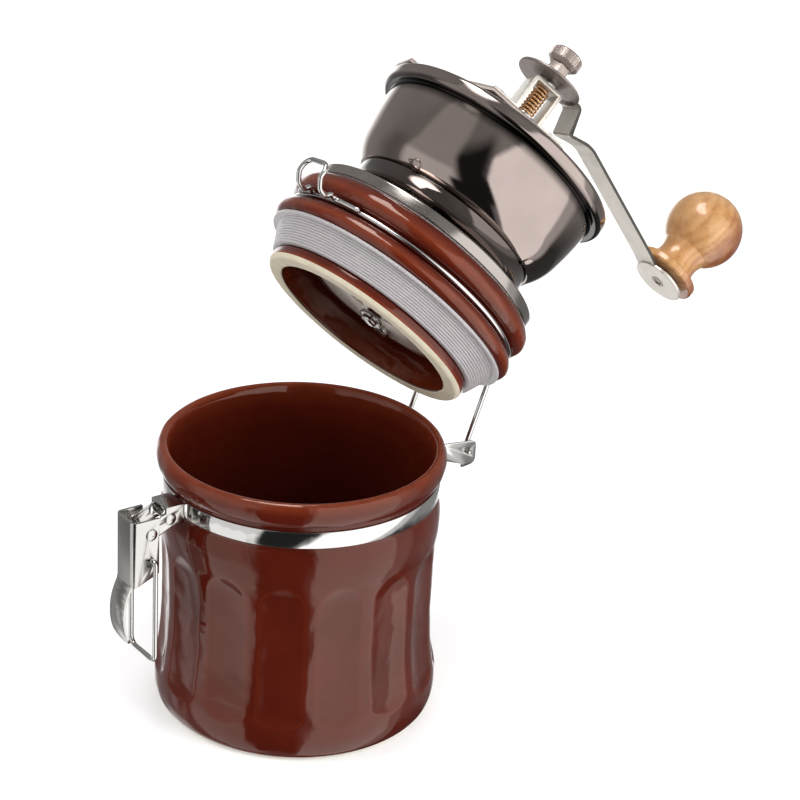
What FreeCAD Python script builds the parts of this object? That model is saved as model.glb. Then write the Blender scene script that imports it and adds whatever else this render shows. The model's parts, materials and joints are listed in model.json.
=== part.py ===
import FreeCAD, Part

import math
import os

import Sketcher
from FreeCAD import Placement, Rotation, Vector

# Manual canister coffee grinder: a glazed jar with a clip-down lid that carries the hopper,
# the burrs and the crank.  Z is the jar's axis, z = 0 is the foot it stands on, the latch
# faces -Y and the hinge +Y.  Lid pieces are drawn in the closed pose and placed open.

os.makedirs("parts", exist_ok=True)
doc = FreeCAD.newDocument("CoffeeGrinder")
sheet = doc.addObject("Spreadsheet::Sheet", "dims")

# Driving sizes, in millimetres and degrees

SIZES = {
    # jar
    "foot_radius": 46.8,
    "foot_inner": 42.0,
    "foot_disc": 33.0,
    "foot_recess": 1.5,
    "heel_radius": 51.2,
    "heel_level": 3.2,
    "heel_tuck": 0.025,
    "bulge_radius": 52.1,
    "bulge_level": 9.0,
    "bulge_round": 19.1,
    "skirt_radius": 51.1,
    "skirt_level": 19.5,
    "skirt_round": 55.6,
    "waist_radius": 49.5,
    "waist_level": 43.0,
    "waist_low_round": 173.4,
    "chest_radius": 50.1,
    "chest_level": 68.0,
    "waist_high_round": 521.0,
    "shoulder_radius": 50.8,
    "shoulder_level": 76.0,
    "shoulder_round": 46.0,
    "collar_round": 22.4,
    "collar_level": 83.8,
    "neck_radius": 49.4,
    "bead_level": 98.0,
    "bead_middle": 49.5,
    "bead_half_width": 2.5,
    "bead_half_height": 4.55,
    "bead_shoulder_in": 1.607,
    "bead_shoulder_up": 3.485,
    "bead_side_round": 7.25,
    "bead_top_round": 1.745,
    "jar_bore": 45.6,
    "jar_throat_top": 94.0,
    "jar_throat_low": 86.0,
    "jar_floor": 4.5,
    "jar_floor_round": 8.0,
    "flute_count": 15,
    "flute_axis": 95.0,
    "flute_depth": 1.4,
    "flute_high": 60.0,
    "flute_high_radius": 48.38,
    "flute_high_round": 22.9,
    "flute_high_reach": 9.8,
    "flute_low_radius": 49.7,
    "flute_low_round": 9.0,
    "flute_low_reach": 7.0,
    "flute_outside": 58.0,
    "flute_sweep": 70.0,
    "flute_turn": 0.5,
    # neck band with its two ears
    "band_thick": 0.6,
    "band_gap": 0.1,
    "band_low": 85.7,
    "band_high": 91.8,
    "ear_inner": 3.4,
    "ear_thick": 0.8,
    "ear_reach": 60.2,
    # latch, measured outwards from a plane 50 mm in front of the axis
    "latch_turn": -8.0,
    "latch_plane": 50.0,
    "rivet_out": 7.1,
    "rivet_level": 88.1,
    "rivet_radius": 1.3,
    "rivet_head": 2.3,
    "rivet_head_tall": 0.7,
    "pivot_out": 15.2,
    "pivot_level": 84.5,
    "pivot_radius": 1.25,
    "running_gap": 0.06,
    "saddle_inner": 4.28,
    "saddle_outer": 5.12,
    "saddle_back": 1.5,
    "saddle_front": 8.9,
    "saddle_high": 92.8,
    "saddle_plate": 0.8,
    "saddle_nose": 3.6,
    "lever_inner": 5.25,
    "lever_outer": 6.2,
    "lever_back": 12.2,
    "lever_front": 22.7,
    "lever_high": 90.3,
    "lever_back_low": 69.0,
    "lever_low": 65.0,
    "lever_sheet": 1.0,
    "lever_bend": 2.4,
    "tab_belly": 25.5,
    "tab_belly_level": 53.0,
    "tab_tip": 22.0,
    "tab_tip_level": 41.0,
    "tab_front_high_round": 24.0,
    "tab_front_low_round": 20.0,
    "tab_back_low_round": 19.0,
    "tab_back_high_round": 23.0,
    "tab_corner": 4.5,
    "bail_out": 14.9,
    "bail_level": 74.5,
    "bail_wire": 0.9,
    "bail_half": 8.4,
    "bail_end": 4.75,
    "bail_long": 39.6,
    "bail_corner": 3.0,
    "bail_knee": 1.5,
    # hinge bracket and axis
    "hinge_out": 67.0,
    "hinge_level": 84.7,
    "bracket_half": 17.8,
    "bracket_sheet": 0.8,
    "bracket_reach": 71.2,
    "bracket_low": 79.0,
    "bracket_tip_low": 80.4,
    "bracket_tip_high": 88.0,
    "bracket_tip_round": 2.4,
    "bracket_step": 1.5,
    "bracket_slope": 7.0,
    "lid_open": 49.4,
    # lid
    "lid_foot": 89.0,
    "lid_hollow": 35.5,
    "lid_foot_radius": 40.7,
    "lid_ring_radius": 42.0,
    "lid_ring_low": 90.8,
    "lid_ring_round": 4.0,
    "lid_ring_high": 93.4,
    "lid_seat_radius": 41.0,
    "lid_seat_low": 94.0,
    "lid_seat_round": 1.8,
    "lid_seat_high": 104.0,
    "lid_ledge": 48.6,
    "lid_low_bead": 51.0,
    "lid_low_bead_level": 107.0,
    "lid_low_bead_under": 3.08,
    "lid_low_bead_over": 3.59,
    "groove_mouth": 48.2,
    "groove_low": 110.5,
    "groove_round": 1.8,
    "lid_high_bead": 50.5,
    "lid_high_bead_level": 117.7,
    "lid_high_bead_under": 3.97,
    "lid_high_bead_over": 5.37,
    "lid_top": 123.0,
    "lid_top_radius": 46.0,
    "lid_ceiling": 101.5,
    "burr_bore": 19.2,
    "bolt_ring": 24.0,
    "bolt_count": 3,
    "bolt_radius": 2.0,
    "bolt_gap": 0.2,
    # gasket
    "gasket_inner": 41.1,
    "gasket_web": 42.4,
    "gasket_low": 94.3,
    "gasket_flange": 49.5,
    "gasket_flange_low": 102.85,
    "gasket_flange_high": 103.9,
    "fin_count": 4,
    "fin_first_level": 95.2,
    "fin_step": 2.1,
    "fin_first_radius": 43.4,
    "fin_growth": 1.05,
    "fin_root": 0.55,
    "fin_tip": 0.3,
    "fin_rise": 0.5,
    # lid wires
    "ring_wire": 1.0,
    "ring_radius": 47.5,
    "ring_level": 112.3,
    "ring_corner": 3.0,
    "leg_half": 15.7,
    "leg_knee_out": 54.4,
    "leg_knee_level": 110.0,
    "leg_start_out": 51.2,
    "leg_end_half": 19.2,
    "leg_bend": 2.6,
    "leg_foot_bend": 1.6,
    "hook_wire": 0.95,
    "hook_ring_radius": 49.5,
    "hook_half": 6.2,
    "hook_corner": 2.4,
    "hook_overlap": 11.0,
    "hook_start_out": 52.1,
    "hook_dip_out": 53.4,
    "hook_dip_level": 110.4,
    "hook_turn_out": 57.2,
    "hook_turn_level": 110.6,
    "hook_rise_out": 60.0,
    "hook_rise_level": 113.6,
    "hook_top_out": 60.2,
    "hook_top_level": 119.0,
    "hook_bend_start": 1.2,
    "hook_bend_dip": 1.5,
    "hook_bend_rise": 2.6,
    "hook_bend_top": 3.6,
    # grinding set
    "outer_burr_radius": 18.9,
    "burr_lift": 0.1,
    "burr_drop": 2.0,
    "burr_drawn_tall": 19.4,
    "outer_burr_mouth": 9.0,
    "outer_burr_flare": 16.3,
    "inner_burr_rise": 0.8,
    "inner_burr_drop": 1.5,
    "inner_burr_top": 7.2,
    "inner_burr_flare": 15.5,
    "inner_burr_lip": 1.2,
    "burr_groove_count": 12,
    "burr_groove_wide": 1.6,
    "burr_groove_depth": 1.3,
    "carrier_radius": 29.5,
    "carrier_thick": 1.9,
    "carrier_window_inner": 6.8,
    "carrier_window_outer": 17.0,
    "carrier_hub": 5.6,
    "carrier_hub_tall": 4.3,
    "spoke_half": 2.6,
    "shaft_radius": 3.0,
    "shaft_foot": 8.9,
    "shaft_step": 183.2,
    "shaft_thin": 2.0,
    "shaft_top": 217.6,
    "shaft_chamfer": 0.5,
    "clip_radius": 4.6,
    "clip_drop": 7.3,
    "clip_thick": 1.2,
    "bolt_head_radius": 3.7,
    "bolt_head_tall": 2.1,
    "bolt_head_round": 1.0,
    "bolt_top": 129.2,
    "nut_across": 7.0,
    "nut_tall": 3.2,
    # hopper
    "seal_thick": 0.6,
    "seal_inner": 20.0,
    "seal_bore": 27.0,
    "seal_inset": 0.4,
    "flange_radius": 46.5,
    "flange_high": 127.0,
    "flange_round": 0.8,
    "base_sheet": 1.2,
    "base_neck_radius": 36.2,
    "base_neck_low": 137.6,
    "base_neck_high": 139.0,
    "base_curve": 10.4,
    "base_inner_curve": 11.7,
    "base_lip_in": 1.6,
    "base_lip_drop": 0.5,
    "bowl_collar": 34.9,
    "bowl_collar_low": 136.2,
    "bowl_foot": 139.1,
    "bowl_foot_radius": 37.0,
    "bowl_sheet": 1.1,
    "bowl_mid_radius": 42.2,
    "bowl_mid_level": 149.0,
    "bowl_low_curve": 11.2,
    "bowl_high_radius": 44.2,
    "bowl_high_level": 165.0,
    "bowl_high_curve": 68.0,
    "rim_low": 168.0,
    "rim_top": 174.0,
    "rim_radius": 48.0,
    "rim_round": 1.9,
    "rim_inner": 43.0,
    "funnel_foot": 13.6,
    "funnel_throat": 12.5,
    "funnel_throat_high": 127.4,
    "funnel_top": 139.6,
    "funnel_top_radius": 33.3,
    "funnel_sheet": 0.9,
    "funnel_lip": 0.7,
    "guide_half": 3.4,
    "guide_low": 126.2,
    "guide_thick": 2.2,
    "guide_hub": 5.4,
    "guide_hub_tall": 6.0,
    "guide_gap": 0.15,
    # bridge, arch and crank head
    "bridge_turn": 57.0,
    "bridge_half": 7.5,
    "bridge_sheet": 1.5,
    "bridge_end": 47.4,
    "bridge_foot": 40.4,
    "bridge_foot_under": 39.6,
    "bridge_plateau": 17.0,
    "bridge_plateau_under": 16.3,
    "bridge_top": 188.0,
    "arch_half": 5.5,
    "arch_sheet": 1.5,
    "arch_leg": 4.9,
    "arch_end": 16.4,
    "arch_top": 203.6,
    "arch_bend": 1.4,
    "arch_gap": 0.15,
    "arch_screw_out": 12.2,
    "arch_screw_radius": 1.5,
    "arch_screw_head": 3.1,
    "arch_screw_dome": 1.9,
    "arch_screw_low": 181.6,
    "screw_gap": 0.1,
    "nut_gap": 0.05,
    "arch_nut_across": 5.5,
    "arch_nut_tall": 2.4,
    "upper_bush_radius": 3.4,
    "upper_bush_low": 183.6,
    "upper_bush_flange": 4.6,
    "upper_bush_flange_tall": 1.1,
    "seat_radius": 4.2,
    "seat_thick": 1.0,
    "seat_gap": 0.1,
    "spring_radius": 2.82,
    "spring_wire": 0.42,
    "spring_turns": 6.5,
    "spring_bend": 0.9,
    "crank_turn": 72.0,
    "cap_radius": 13.3,
    "cap_low": 201.0,
    "cap_top": 206.7,
    "cap_flat": 7.0,
    "cap_sheet": 1.1,
    "cap_curve": 6.4,
    "cap_inner_curve": 5.3,
    "thrust_radius": 4.2,
    "thrust_gap": 0.1,
    "collar_low": 207.3,
    "collar_across": 7.7,
    "collar_tall": 6.1,
    "washer_radius": 5.6,
    "thumb_radius": 6.4,
    "thumb_tall": 5.9,
    "thumb_chamfer": 1.4,
    "thumb_top_chamfer": 0.6,
    "arm_half": 5.3,
    "arm_sheet": 1.2,
    "arm_root_out": 12.3,
    "arm_root_level": 201.0,
    "arm_edge_out": 14.5,
    "arm_edge_level": 199.6,
    "arm_dip_out": 17.2,
    "arm_dip_level": 195.6,
    "arm_dip_end_out": 18.9,
    "arm_rise_out": 26.4,
    "arm_rise_level": 197.9,
    "arm_crest_out": 30.0,
    "arm_crest_level": 198.0,
    "arm_slope_out": 78.0,
    "arm_slope_level": 186.8,
    "arm_tip_out": 83.2,
    "arm_tip_level": 185.0,
    "eye_out": 90.7,
    "eye_level": 184.7,
    "eye_radius": 10.3,
    "eye_tilt": 6.5,
    # knob, measured along its own axis from the eye
    "spindle_radius": 2.5,
    "spindle_head": 4.8,
    "spindle_head_tall": 1.8,
    "spindle_collar": 4.6,
    "spindle_collar_high": 1.5,
    "spindle_top": 34.4,
    "knob_washer_radius": 7.2,
    "knob_washer_high": 2.3,
    "knob_low": 2.5,
    "knob_flange": 13.0,
    "knob_flange_high": 6.0,
    "knob_flange_round": 1.0,
    "knob_neck": 9.0,
    "knob_neck_round": 10.0,
    "knob_neck_swell": 0.4,
    "knob_neck_rise": 2.2,
    "knob_fillet_round": 3.2,
    "knob_fillet_out": 0.9,
    "knob_fillet_rise": 0.3,
    "knob_ball": 15.0,
    "knob_ball_level": 27.9,
    "knob_bore_top": 35.0,
}

# How far a cutting outline runs past the material it cuts

PAST = 1.0
WELL_PAST = 5.0


# Sizes that keep the expression behind their value

class Size:
    """A number together with the spreadsheet expression that gives it."""

    def __init__(self, value, text):
        self.value = value
        self.text = text

    def __add__(self, other):
        other = as_size(other)
        return Size(self.value + other.value, f"({self.text} + {other.text})")

    def __radd__(self, other):
        return as_size(other) + self

    def __sub__(self, other):
        other = as_size(other)
        return Size(self.value - other.value, f"({self.text} - {other.text})")

    def __rsub__(self, other):
        return as_size(other) - self

    def __mul__(self, other):
        other = as_size(other)
        return Size(self.value * other.value, f"({self.text} * {other.text})")

    def __rmul__(self, other):
        return as_size(other) * self

    def __truediv__(self, other):
        other = as_size(other)
        return Size(self.value / other.value, f"({self.text} / {other.text})")

    def __neg__(self):
        return Size(-self.value, f"(0 - {self.text})")


def as_size(item):
    """Gives a plain number the same form as a named size."""
    if isinstance(item, Size):
        return item
    return Size(float(item), repr(float(item)))


def root(size):
    """Square root of a size."""
    return Size(math.sqrt(size.value), f"sqrt({size.text})")


class Dims:
    """Every named size as an attribute, each bound to its cell in the sheet."""

    def __init__(self, sizes):
        for row, (alias, number) in enumerate(sizes.items(), start=1):
            sheet.set(f"A{row}", alias)
            sheet.set(f"B{row}", str(number))
            sheet.setAlias(f"B{row}", alias)
            setattr(self, alias, Size(number, f"dims.{alias}"))


dim = Dims(SIZES)
doc.recompute()


# Sketches

def arc_between(first, second, radius, turn):
    """The short arc from one point to the next; turn is +1 anticlockwise, -1 clockwise."""
    chord = second - first
    half = chord.Length / 2
    rise = math.sqrt(max(radius * radius - half * half, 0))
    side = Vector(-chord.y, chord.x, 0).normalize() * turn
    centre = (first + second) * 0.5 + side * rise
    begin, end = (first, second) if turn > 0 else (second, first)
    angles = [math.atan2(point.y - centre.y, point.x - centre.x) for point in (begin, end)]
    return Part.ArcOfCircle(Part.Circle(centre, Vector(0, 0, 1), radius), *angles)


def hold(sketch, kind, index, place, size):
    """Adds one driving constraint and binds it to its expression."""
    size = as_size(size)
    if kind == "Radius":
        number = sketch.addConstraint(Sketcher.Constraint(kind, index, size.value))
    else:
        number = sketch.addConstraint(Sketcher.Constraint(kind, index, place, size.value))
    if "dims." in size.text:
        sketch.setExpression(f"Constraints[{number}]", size.text)


def draw_outline(sketch, corners):
    """Draws a closed outline.  A corner is (x, y), or (x, y, radius, turn) where the edge
    that arrives at it is an arc."""
    count = len(corners)
    points = [Vector(as_size(c[0]).value, as_size(c[1]).value, 0) for c in corners]
    spans = []
    for index in range(count):
        arrival = corners[(index + 1) % count]
        first, second = points[index], points[(index + 1) % count]
        if len(arrival) == 2:
            number = sketch.addGeometry(Part.LineSegment(first, second), False)
            spans.append((number, 1, 2))
        else:
            turn = arrival[3]
            curve = arc_between(first, second, as_size(arrival[2]).value, turn)
            number = sketch.addGeometry(curve, False)
            spans.append((number, 1, 2) if turn > 0 else (number, 2, 1))
    for index in range(count):
        here, following = spans[index], spans[(index + 1) % count]
        sketch.addConstraint(Sketcher.Constraint("Coincident", here[0], here[2], following[0], following[1]))
    for index in range(count):
        number, start, _ = spans[index]
        hold(sketch, "DistanceX", number, start, corners[index][0])
        hold(sketch, "DistanceY", number, start, corners[index][1])
    for index in range(count):
        arrival = corners[(index + 1) % count]
        if len(arrival) == 4:
            hold(sketch, "Radius", spans[index][0], 0, arrival[2])


def draw_circle(sketch, x, y, radius):
    """Draws one held circle."""
    centre = Vector(as_size(x).value, as_size(y).value, 0)
    circle = Part.Circle(centre, Vector(0, 0, 1), as_size(radius).value)
    number = sketch.addGeometry(circle, False)
    hold(sketch, "DistanceX", number, 3, x)
    hold(sketch, "DistanceY", number, 3, y)
    hold(sketch, "Radius", number, 0, radius)


def draw_axis(sketch, x):
    """Draws an upright construction line to turn a profile about."""
    across = as_size(x).value
    line = Part.LineSegment(Vector(across, 0, 0), Vector(across, 10, 0))
    number = sketch.addGeometry(line, True)
    hold(sketch, "DistanceX", number, 1, x)
    hold(sketch, "DistanceX", number, 2, x)
    hold(sketch, "DistanceY", number, 1, 0)
    hold(sketch, "DistanceY", number, 2, 10)


def origin_item(body, role):
    """One of the body's own origin planes or axes."""
    return next(item for item in body.Origin.OriginFeatures if item.Role == role)


def sketch_on(body, role, name, raised=None):
    """An empty sketch on one of the body's own planes, raised along its normal if asked."""
    sketch = body.newObject("Sketcher::SketchObject", f"{body.Name}_{name}")
    sketch.AttachmentSupport = [(origin_item(body, role), "")]
    sketch.MapMode = "FlatFace"
    if raised is not None:
        raised = as_size(raised)
        sketch.AttachmentOffset = Placement(Vector(0, 0, raised.value), Rotation())
        sketch.setExpression(".AttachmentOffset.Base.z", raised.text)
    return sketch


# Bodies and their features

def new_body(name):
    """An empty body whose label names its file."""
    body = doc.addObject("PartDesign::Body", name)
    body.Label = name
    return body


def bind(item, field, size):
    """Sets a feature's field and binds it to its expression."""
    size = as_size(size)
    setattr(item, field, size.value)
    if "dims." in size.text:
        item.setExpression(field, size.text)


def add_turned(body, sketch, name, own_axis=False):
    """A full revolution of a sketch about the body's Z axis or the sketch's own line."""
    feature = body.newObject("PartDesign::Revolution", f"{body.Name}_{name}")
    feature.Profile = sketch
    feature.ReferenceAxis = (sketch, ["Axis0" if own_axis else "V_Axis"])
    feature.Angle = 360
    return feature


def add_pad(body, sketch, name, length, symmetric=False):
    """A straight extrusion of a sketch."""
    feature = body.newObject("PartDesign::Pad", f"{body.Name}_{name}")
    feature.Profile = sketch
    feature.SideType = "Symmetric" if symmetric else "One side"
    bind(feature, "Length", length)
    return feature


def must_shrink(body, feature, before):
    """Stops the build if a cut has taken nothing away."""
    doc.recompute()
    if not body.Shape.Volume < before - 1e-6:
        raise RuntimeError(f"{feature.Name} removed nothing")


def add_pocket(body, sketch, name, length, symmetric=False, flip=False):
    """A straight cut of a sketch."""
    doc.recompute()
    before = body.Shape.Volume
    feature = body.newObject("PartDesign::Pocket", f"{body.Name}_{name}")
    feature.Profile = sketch
    feature.SideType = "Symmetric" if symmetric else "One side"
    feature.Reversed = flip
    bind(feature, "Length", length)
    must_shrink(body, feature, before)
    return feature


def add_polar(body, features, name, count):
    """Repeats features evenly round the body's Z axis."""
    pattern = body.newObject("PartDesign::PolarPattern", f"{body.Name}_{name}")
    pattern.Originals = features
    pattern.Axis = (origin_item(body, "Z_Axis"), [""])
    pattern.Angle = 360
    pattern.Occurrences = int(count.value)
    pattern.setExpression("Occurrences", count.text)
    body.Tip = pattern
    return pattern


def add_fillet(body, name, radius, wanted):
    """Rounds the edges of the body's tip for which wanted(edge) holds."""
    doc.recompute()
    base = body.Tip
    names = [f"Edge{i}" for i, edge in enumerate(base.Shape.Edges, start=1) if wanted(edge)]
    if not names:
        raise RuntimeError(f"{body.Name}_{name} found no edge")
    feature = body.newObject("PartDesign::Fillet", f"{body.Name}_{name}")
    feature.Base = (base, names)
    bind(feature, "Radius", radius)
    return feature


def turned_body(name, corners, axis=None):
    """A piece made by turning one outline about the Z axis, or about a line at x = axis."""
    body = new_body(name)
    sketch = sketch_on(body, "XZ_Plane", "outline")
    if axis is not None:
        draw_axis(sketch, axis)
    draw_outline(sketch, corners)
    add_turned(body, sketch, "turned", own_axis=axis is not None)
    return body


def washer(name, outer, inner, low, high):
    """A plain ring between two levels."""
    return turned_body(name, [(inner, low), (outer, low), (outer, high), (inner, high)])


def dome_round(half, tall):
    """Radius of a dome of this half-width and height whose centre lies on its axis."""
    return (half * half + tall * tall) / (2 * tall)


def hexagon(x, y, across):
    """The corners of a hexagon with a flat towards +Y."""
    side = across / 2 * (2 / math.sqrt(3))
    half = side / 2
    flat = across / 2
    return [
        (x + half, y - flat), (x + side, y), (x + half, y + flat),
        (x - half, y + flat), (x - side, y), (x - half, y - flat),
    ]


# Wires: straight runs joined by tangent arcs

def corner_arc(start, corner, end):
    """The arc that leaves start and reaches end along the two legs of a corner."""
    incoming = (corner - start).normalize()
    outgoing = (end - corner).normalize()
    half_turn = incoming.getAngle(outgoing) / 2
    radius = start.distanceToPoint(corner) / math.tan(half_turn)
    inward = (outgoing - incoming).normalize()
    middle = corner + inward * (radius / math.cos(half_turn) - radius)
    return Part.Arc(start, middle, end).toShape()


def route(points, radii):
    """Edges of a path with one bend radius for each inner point."""
    edges = []
    here = points[0]
    for before, corner, after, radius in zip(points, points[1:], points[2:], radii):
        incoming = (corner - before).normalize()
        outgoing = (after - corner).normalize()
        reach = radius * math.tan(incoming.getAngle(outgoing) / 2)
        start = corner - incoming * reach
        end = corner + outgoing * reach
        edges.append(Part.LineSegment(here, start).toShape())
        edges.append(corner_arc(start, corner, end))
        here = end
    edges.append(Part.LineSegment(here, points[-1]).toShape())
    return edges


def mirrored_route(points, radii):
    """A path from the +X side, across the mirror plane, to its image on the -X side."""
    other = [Vector(-point.x, point.y, point.z) for point in reversed(points)]
    return route(points + other, radii + list(reversed(radii)))


def tube(edges, radius):
    """One round wire along a path."""
    first = edges[0]
    start = first.valueAt(first.FirstParameter)
    ahead = first.tangentAt(first.FirstParameter)
    ring = Part.Wire([Part.makeCircle(radius, start, ahead)])
    wire = Part.Wire(edges).makePipeShell([ring], True, False)
    length = sum(edge.Length for edge in edges)
    expected = math.pi * radius * radius * length
    if abs(wire.Volume - expected) > 0.02 * expected:
        raise RuntimeError("a wire's volume differs from its section times its length")
    return wire


def formed(name, shape):
    """A piece whose form is worked out point by point from the named sizes."""
    feature = doc.addObject("Part::Feature", name)
    feature.Label = name
    feature.Shape = shape
    return feature


pieces = []


def keep(piece, place=None):
    """Adds a finished piece to the assembly, with its placement."""
    if place is not None:
        piece.Placement = place
    pieces.append(piece)
    return piece


# Poses

Z_AXIS = Vector(0, 0, 1)
X_AXIS = Vector(1, 0, 0)
Y_AXIS = Vector(0, 1, 0)


def spin(size):
    """A turn about the jar's axis."""
    return Placement(Vector(), Rotation(Z_AXIS, size.value))


LID_OPEN = Placement(
    Vector(), Rotation(X_AXIS, -dim.lid_open.value), Vector(0, dim.hinge_out.value, dim.hinge_level.value)
)
LATCH_PLACE = spin(dim.latch_turn)
HOOK_PLACE = LID_OPEN.multiply(LATCH_PLACE)
BRIDGE_PLACE = LID_OPEN.multiply(spin(dim.bridge_turn))
CRANK_PLACE = LID_OPEN.multiply(spin(dim.crank_turn))
KNOB_PLACE = CRANK_PLACE.multiply(Placement(
    Vector(dim.eye_out.value, 0, dim.eye_level.value), Rotation(Y_AXIS, dim.eye_tilt.value)
))


# Jar

def make_jar():
    """Glazed jar with a bead round its mouth and upright flutes round its side."""
    body = new_body("jar")
    bead_out = dim.bead_middle + dim.bead_shoulder_in
    bead_in = dim.bead_middle - dim.bead_shoulder_in
    bead_low = dim.bead_level - dim.bead_shoulder_up
    bead_high = dim.bead_level + dim.bead_shoulder_up
    heel_out = dim.heel_radius - dim.foot_radius
    level_arc = (heel_out * heel_out + dim.heel_level * dim.heel_level) / (2 * dim.heel_level)
    outline = [
        (dim.foot_inner, 0),
        (dim.foot_radius, 0),
        (dim.heel_radius, dim.heel_level, level_arc - dim.heel_tuck, 1),
        (dim.bulge_radius, dim.bulge_level, dim.bulge_round, 1),
        (dim.skirt_radius, dim.skirt_level, dim.skirt_round, 1),
        (dim.waist_radius, dim.waist_level, dim.waist_low_round, -1),
        (dim.chest_radius, dim.chest_level, dim.waist_high_round, -1),
        (dim.shoulder_radius, dim.shoulder_level, dim.shoulder_round, 1),
        (dim.neck_radius, dim.collar_level, dim.collar_round, 1),
        (dim.neck_radius, dim.bead_level - dim.bead_half_height),
        (bead_out, bead_low, dim.bead_top_round, 1),
        (bead_out, bead_high, dim.bead_side_round, 1),
        (bead_in, bead_high, dim.bead_top_round, 1),
        (dim.bead_middle - dim.bead_half_width, dim.bead_level, dim.bead_side_round, 1),
        (dim.bead_middle - dim.bead_half_width, dim.jar_throat_top),
        (dim.jar_bore, dim.jar_throat_low),
        (dim.jar_bore, dim.jar_floor + dim.jar_floor_round),
        (dim.jar_bore - dim.jar_floor_round, dim.jar_floor, dim.jar_floor_round, -1),
        (0, dim.jar_floor),
        (0, 0),
        (dim.foot_disc, 0),
        (dim.foot_disc + dim.foot_recess, dim.foot_recess),
        (dim.foot_inner - dim.foot_recess, dim.foot_recess),
    ]
    sketch = sketch_on(body, "XZ_Plane", "outline")
    draw_outline(sketch, outline)
    add_turned(body, sketch, "turned")
    doc.recompute()
    before = body.Shape.Volume

    flute_waist = dim.waist_radius - dim.flute_depth
    high_round = dim.flute_high_round
    low_round = dim.flute_low_round
    high_run_out = high_round - root(high_round * high_round - dim.flute_high_reach * dim.flute_high_reach)
    low_run_out = low_round - root(low_round * low_round - dim.flute_low_reach * dim.flute_low_reach)
    top = dim.flute_high + dim.flute_high_reach
    bottom = dim.skirt_level - dim.flute_low_reach
    cutter = sketch_on(body, "XZ_Plane", "flute")
    draw_axis(cutter, dim.flute_axis)
    draw_outline(cutter, [
        (dim.flute_outside, bottom),
        (dim.flute_outside, top),
        (dim.flute_high_radius + high_run_out, top),
        (dim.flute_high_radius, dim.flute_high, high_round, 1),
        (flute_waist, dim.waist_level, dim.waist_high_round, 1),
        (dim.flute_low_radius, dim.skirt_level, dim.waist_low_round, 1),
        (dim.flute_low_radius + low_run_out, bottom, low_round, 1),
    ])
    groove = body.newObject("PartDesign::Groove", "jar_flute")
    groove.Profile = cutter
    groove.ReferenceAxis = (cutter, ["Axis0"])
    groove.Midplane = True
    bind(groove, "Angle", dim.flute_sweep)
    must_shrink(body, groove, before)
    add_polar(body, [groove], "flutes", dim.flute_count)
    keep(body, spin(dim.flute_turn))


# Neck band, with two ears that carry the latch

def make_band():
    """Sheet band round the neck whose ends turn outwards as a pair of ears."""
    body = new_body("jar_band")
    inner = dim.neck_radius + dim.band_gap
    outer = inner + dim.band_thick
    ear_out = dim.ear_inner + dim.ear_thick
    outer_start = -root(outer * outer - ear_out * ear_out)
    inner_start = -root(inner * inner - dim.ear_inner * dim.ear_inner)
    sketch = sketch_on(body, "XY_Plane", "strip", dim.band_low)
    draw_outline(sketch, [
        (ear_out, -dim.ear_reach),
        (ear_out, outer_start),
        (outer, 0, outer, 1),
        (0, outer, outer, 1),
        (-outer, 0, outer, 1),
        (-ear_out, outer_start, outer, 1),
        (-ear_out, -dim.ear_reach),
        (-dim.ear_inner, -dim.ear_reach),
        (-dim.ear_inner, inner_start),
        (-inner, 0, inner, -1),
        (0, inner, inner, -1),
        (inner, 0, inner, -1),
        (dim.ear_inner, inner_start, inner, -1),
        (dim.ear_inner, -dim.ear_reach),
    ])
    add_pad(body, sketch, "sheet", dim.band_high - dim.band_low)
    hole = sketch_on(body, "YZ_Plane", "rivet_hole")
    draw_circle(hole, -(dim.latch_plane + dim.rivet_out), dim.rivet_level, dim.rivet_radius + dim.running_gap)
    add_pocket(body, hole, "rivet_bore", 4 * ear_out, symmetric=True)
    add_fillet(body, "ear_corners", dim.rivet_head, lambda edge: (
        abs(edge.BoundBox.YMax + dim.ear_reach.value) < 0.01
        and abs(edge.BoundBox.YMin + dim.ear_reach.value) < 0.01
        and edge.BoundBox.ZLength < 0.01
    ))
    keep(body, LATCH_PLACE)


# Latch: rivet, saddle, pivot pin, lever and bail

def cross_pin(name, out, level, radius, half):
    """A pin with two domed heads, lying along X in the latch."""
    body = new_body(name)
    head = dim.rivet_head
    dome = dome_round(head, dim.rivet_head_tall)
    end = half + dim.rivet_head_tall
    sketch = sketch_on(body, "XY_Plane", "outline")
    draw_outline(sketch, [
        (end, 0),
        (half, head, dome, 1),
        (half, radius),
        (-half, radius),
        (-half, head),
        (-end, 0, dome, 1),
    ])
    feature = body.newObject("PartDesign::Revolution", f"{name}_turned")
    feature.Profile = sketch
    feature.ReferenceAxis = (sketch, ["H_Axis"])
    feature.Angle = 360
    place = Placement(Vector(0, -(dim.latch_plane + out).value, level.value), Rotation())
    keep(body, LATCH_PLACE.multiply(place))


def cross_hole(body, name, out, level, radius, wide):
    """A round hole through the latch along X."""
    sketch = sketch_on(body, "YZ_Plane", name)
    draw_circle(sketch, -(dim.latch_plane + out), level, radius)
    add_pocket(body, sketch, f"{name}_bore", wide, symmetric=True)


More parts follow.
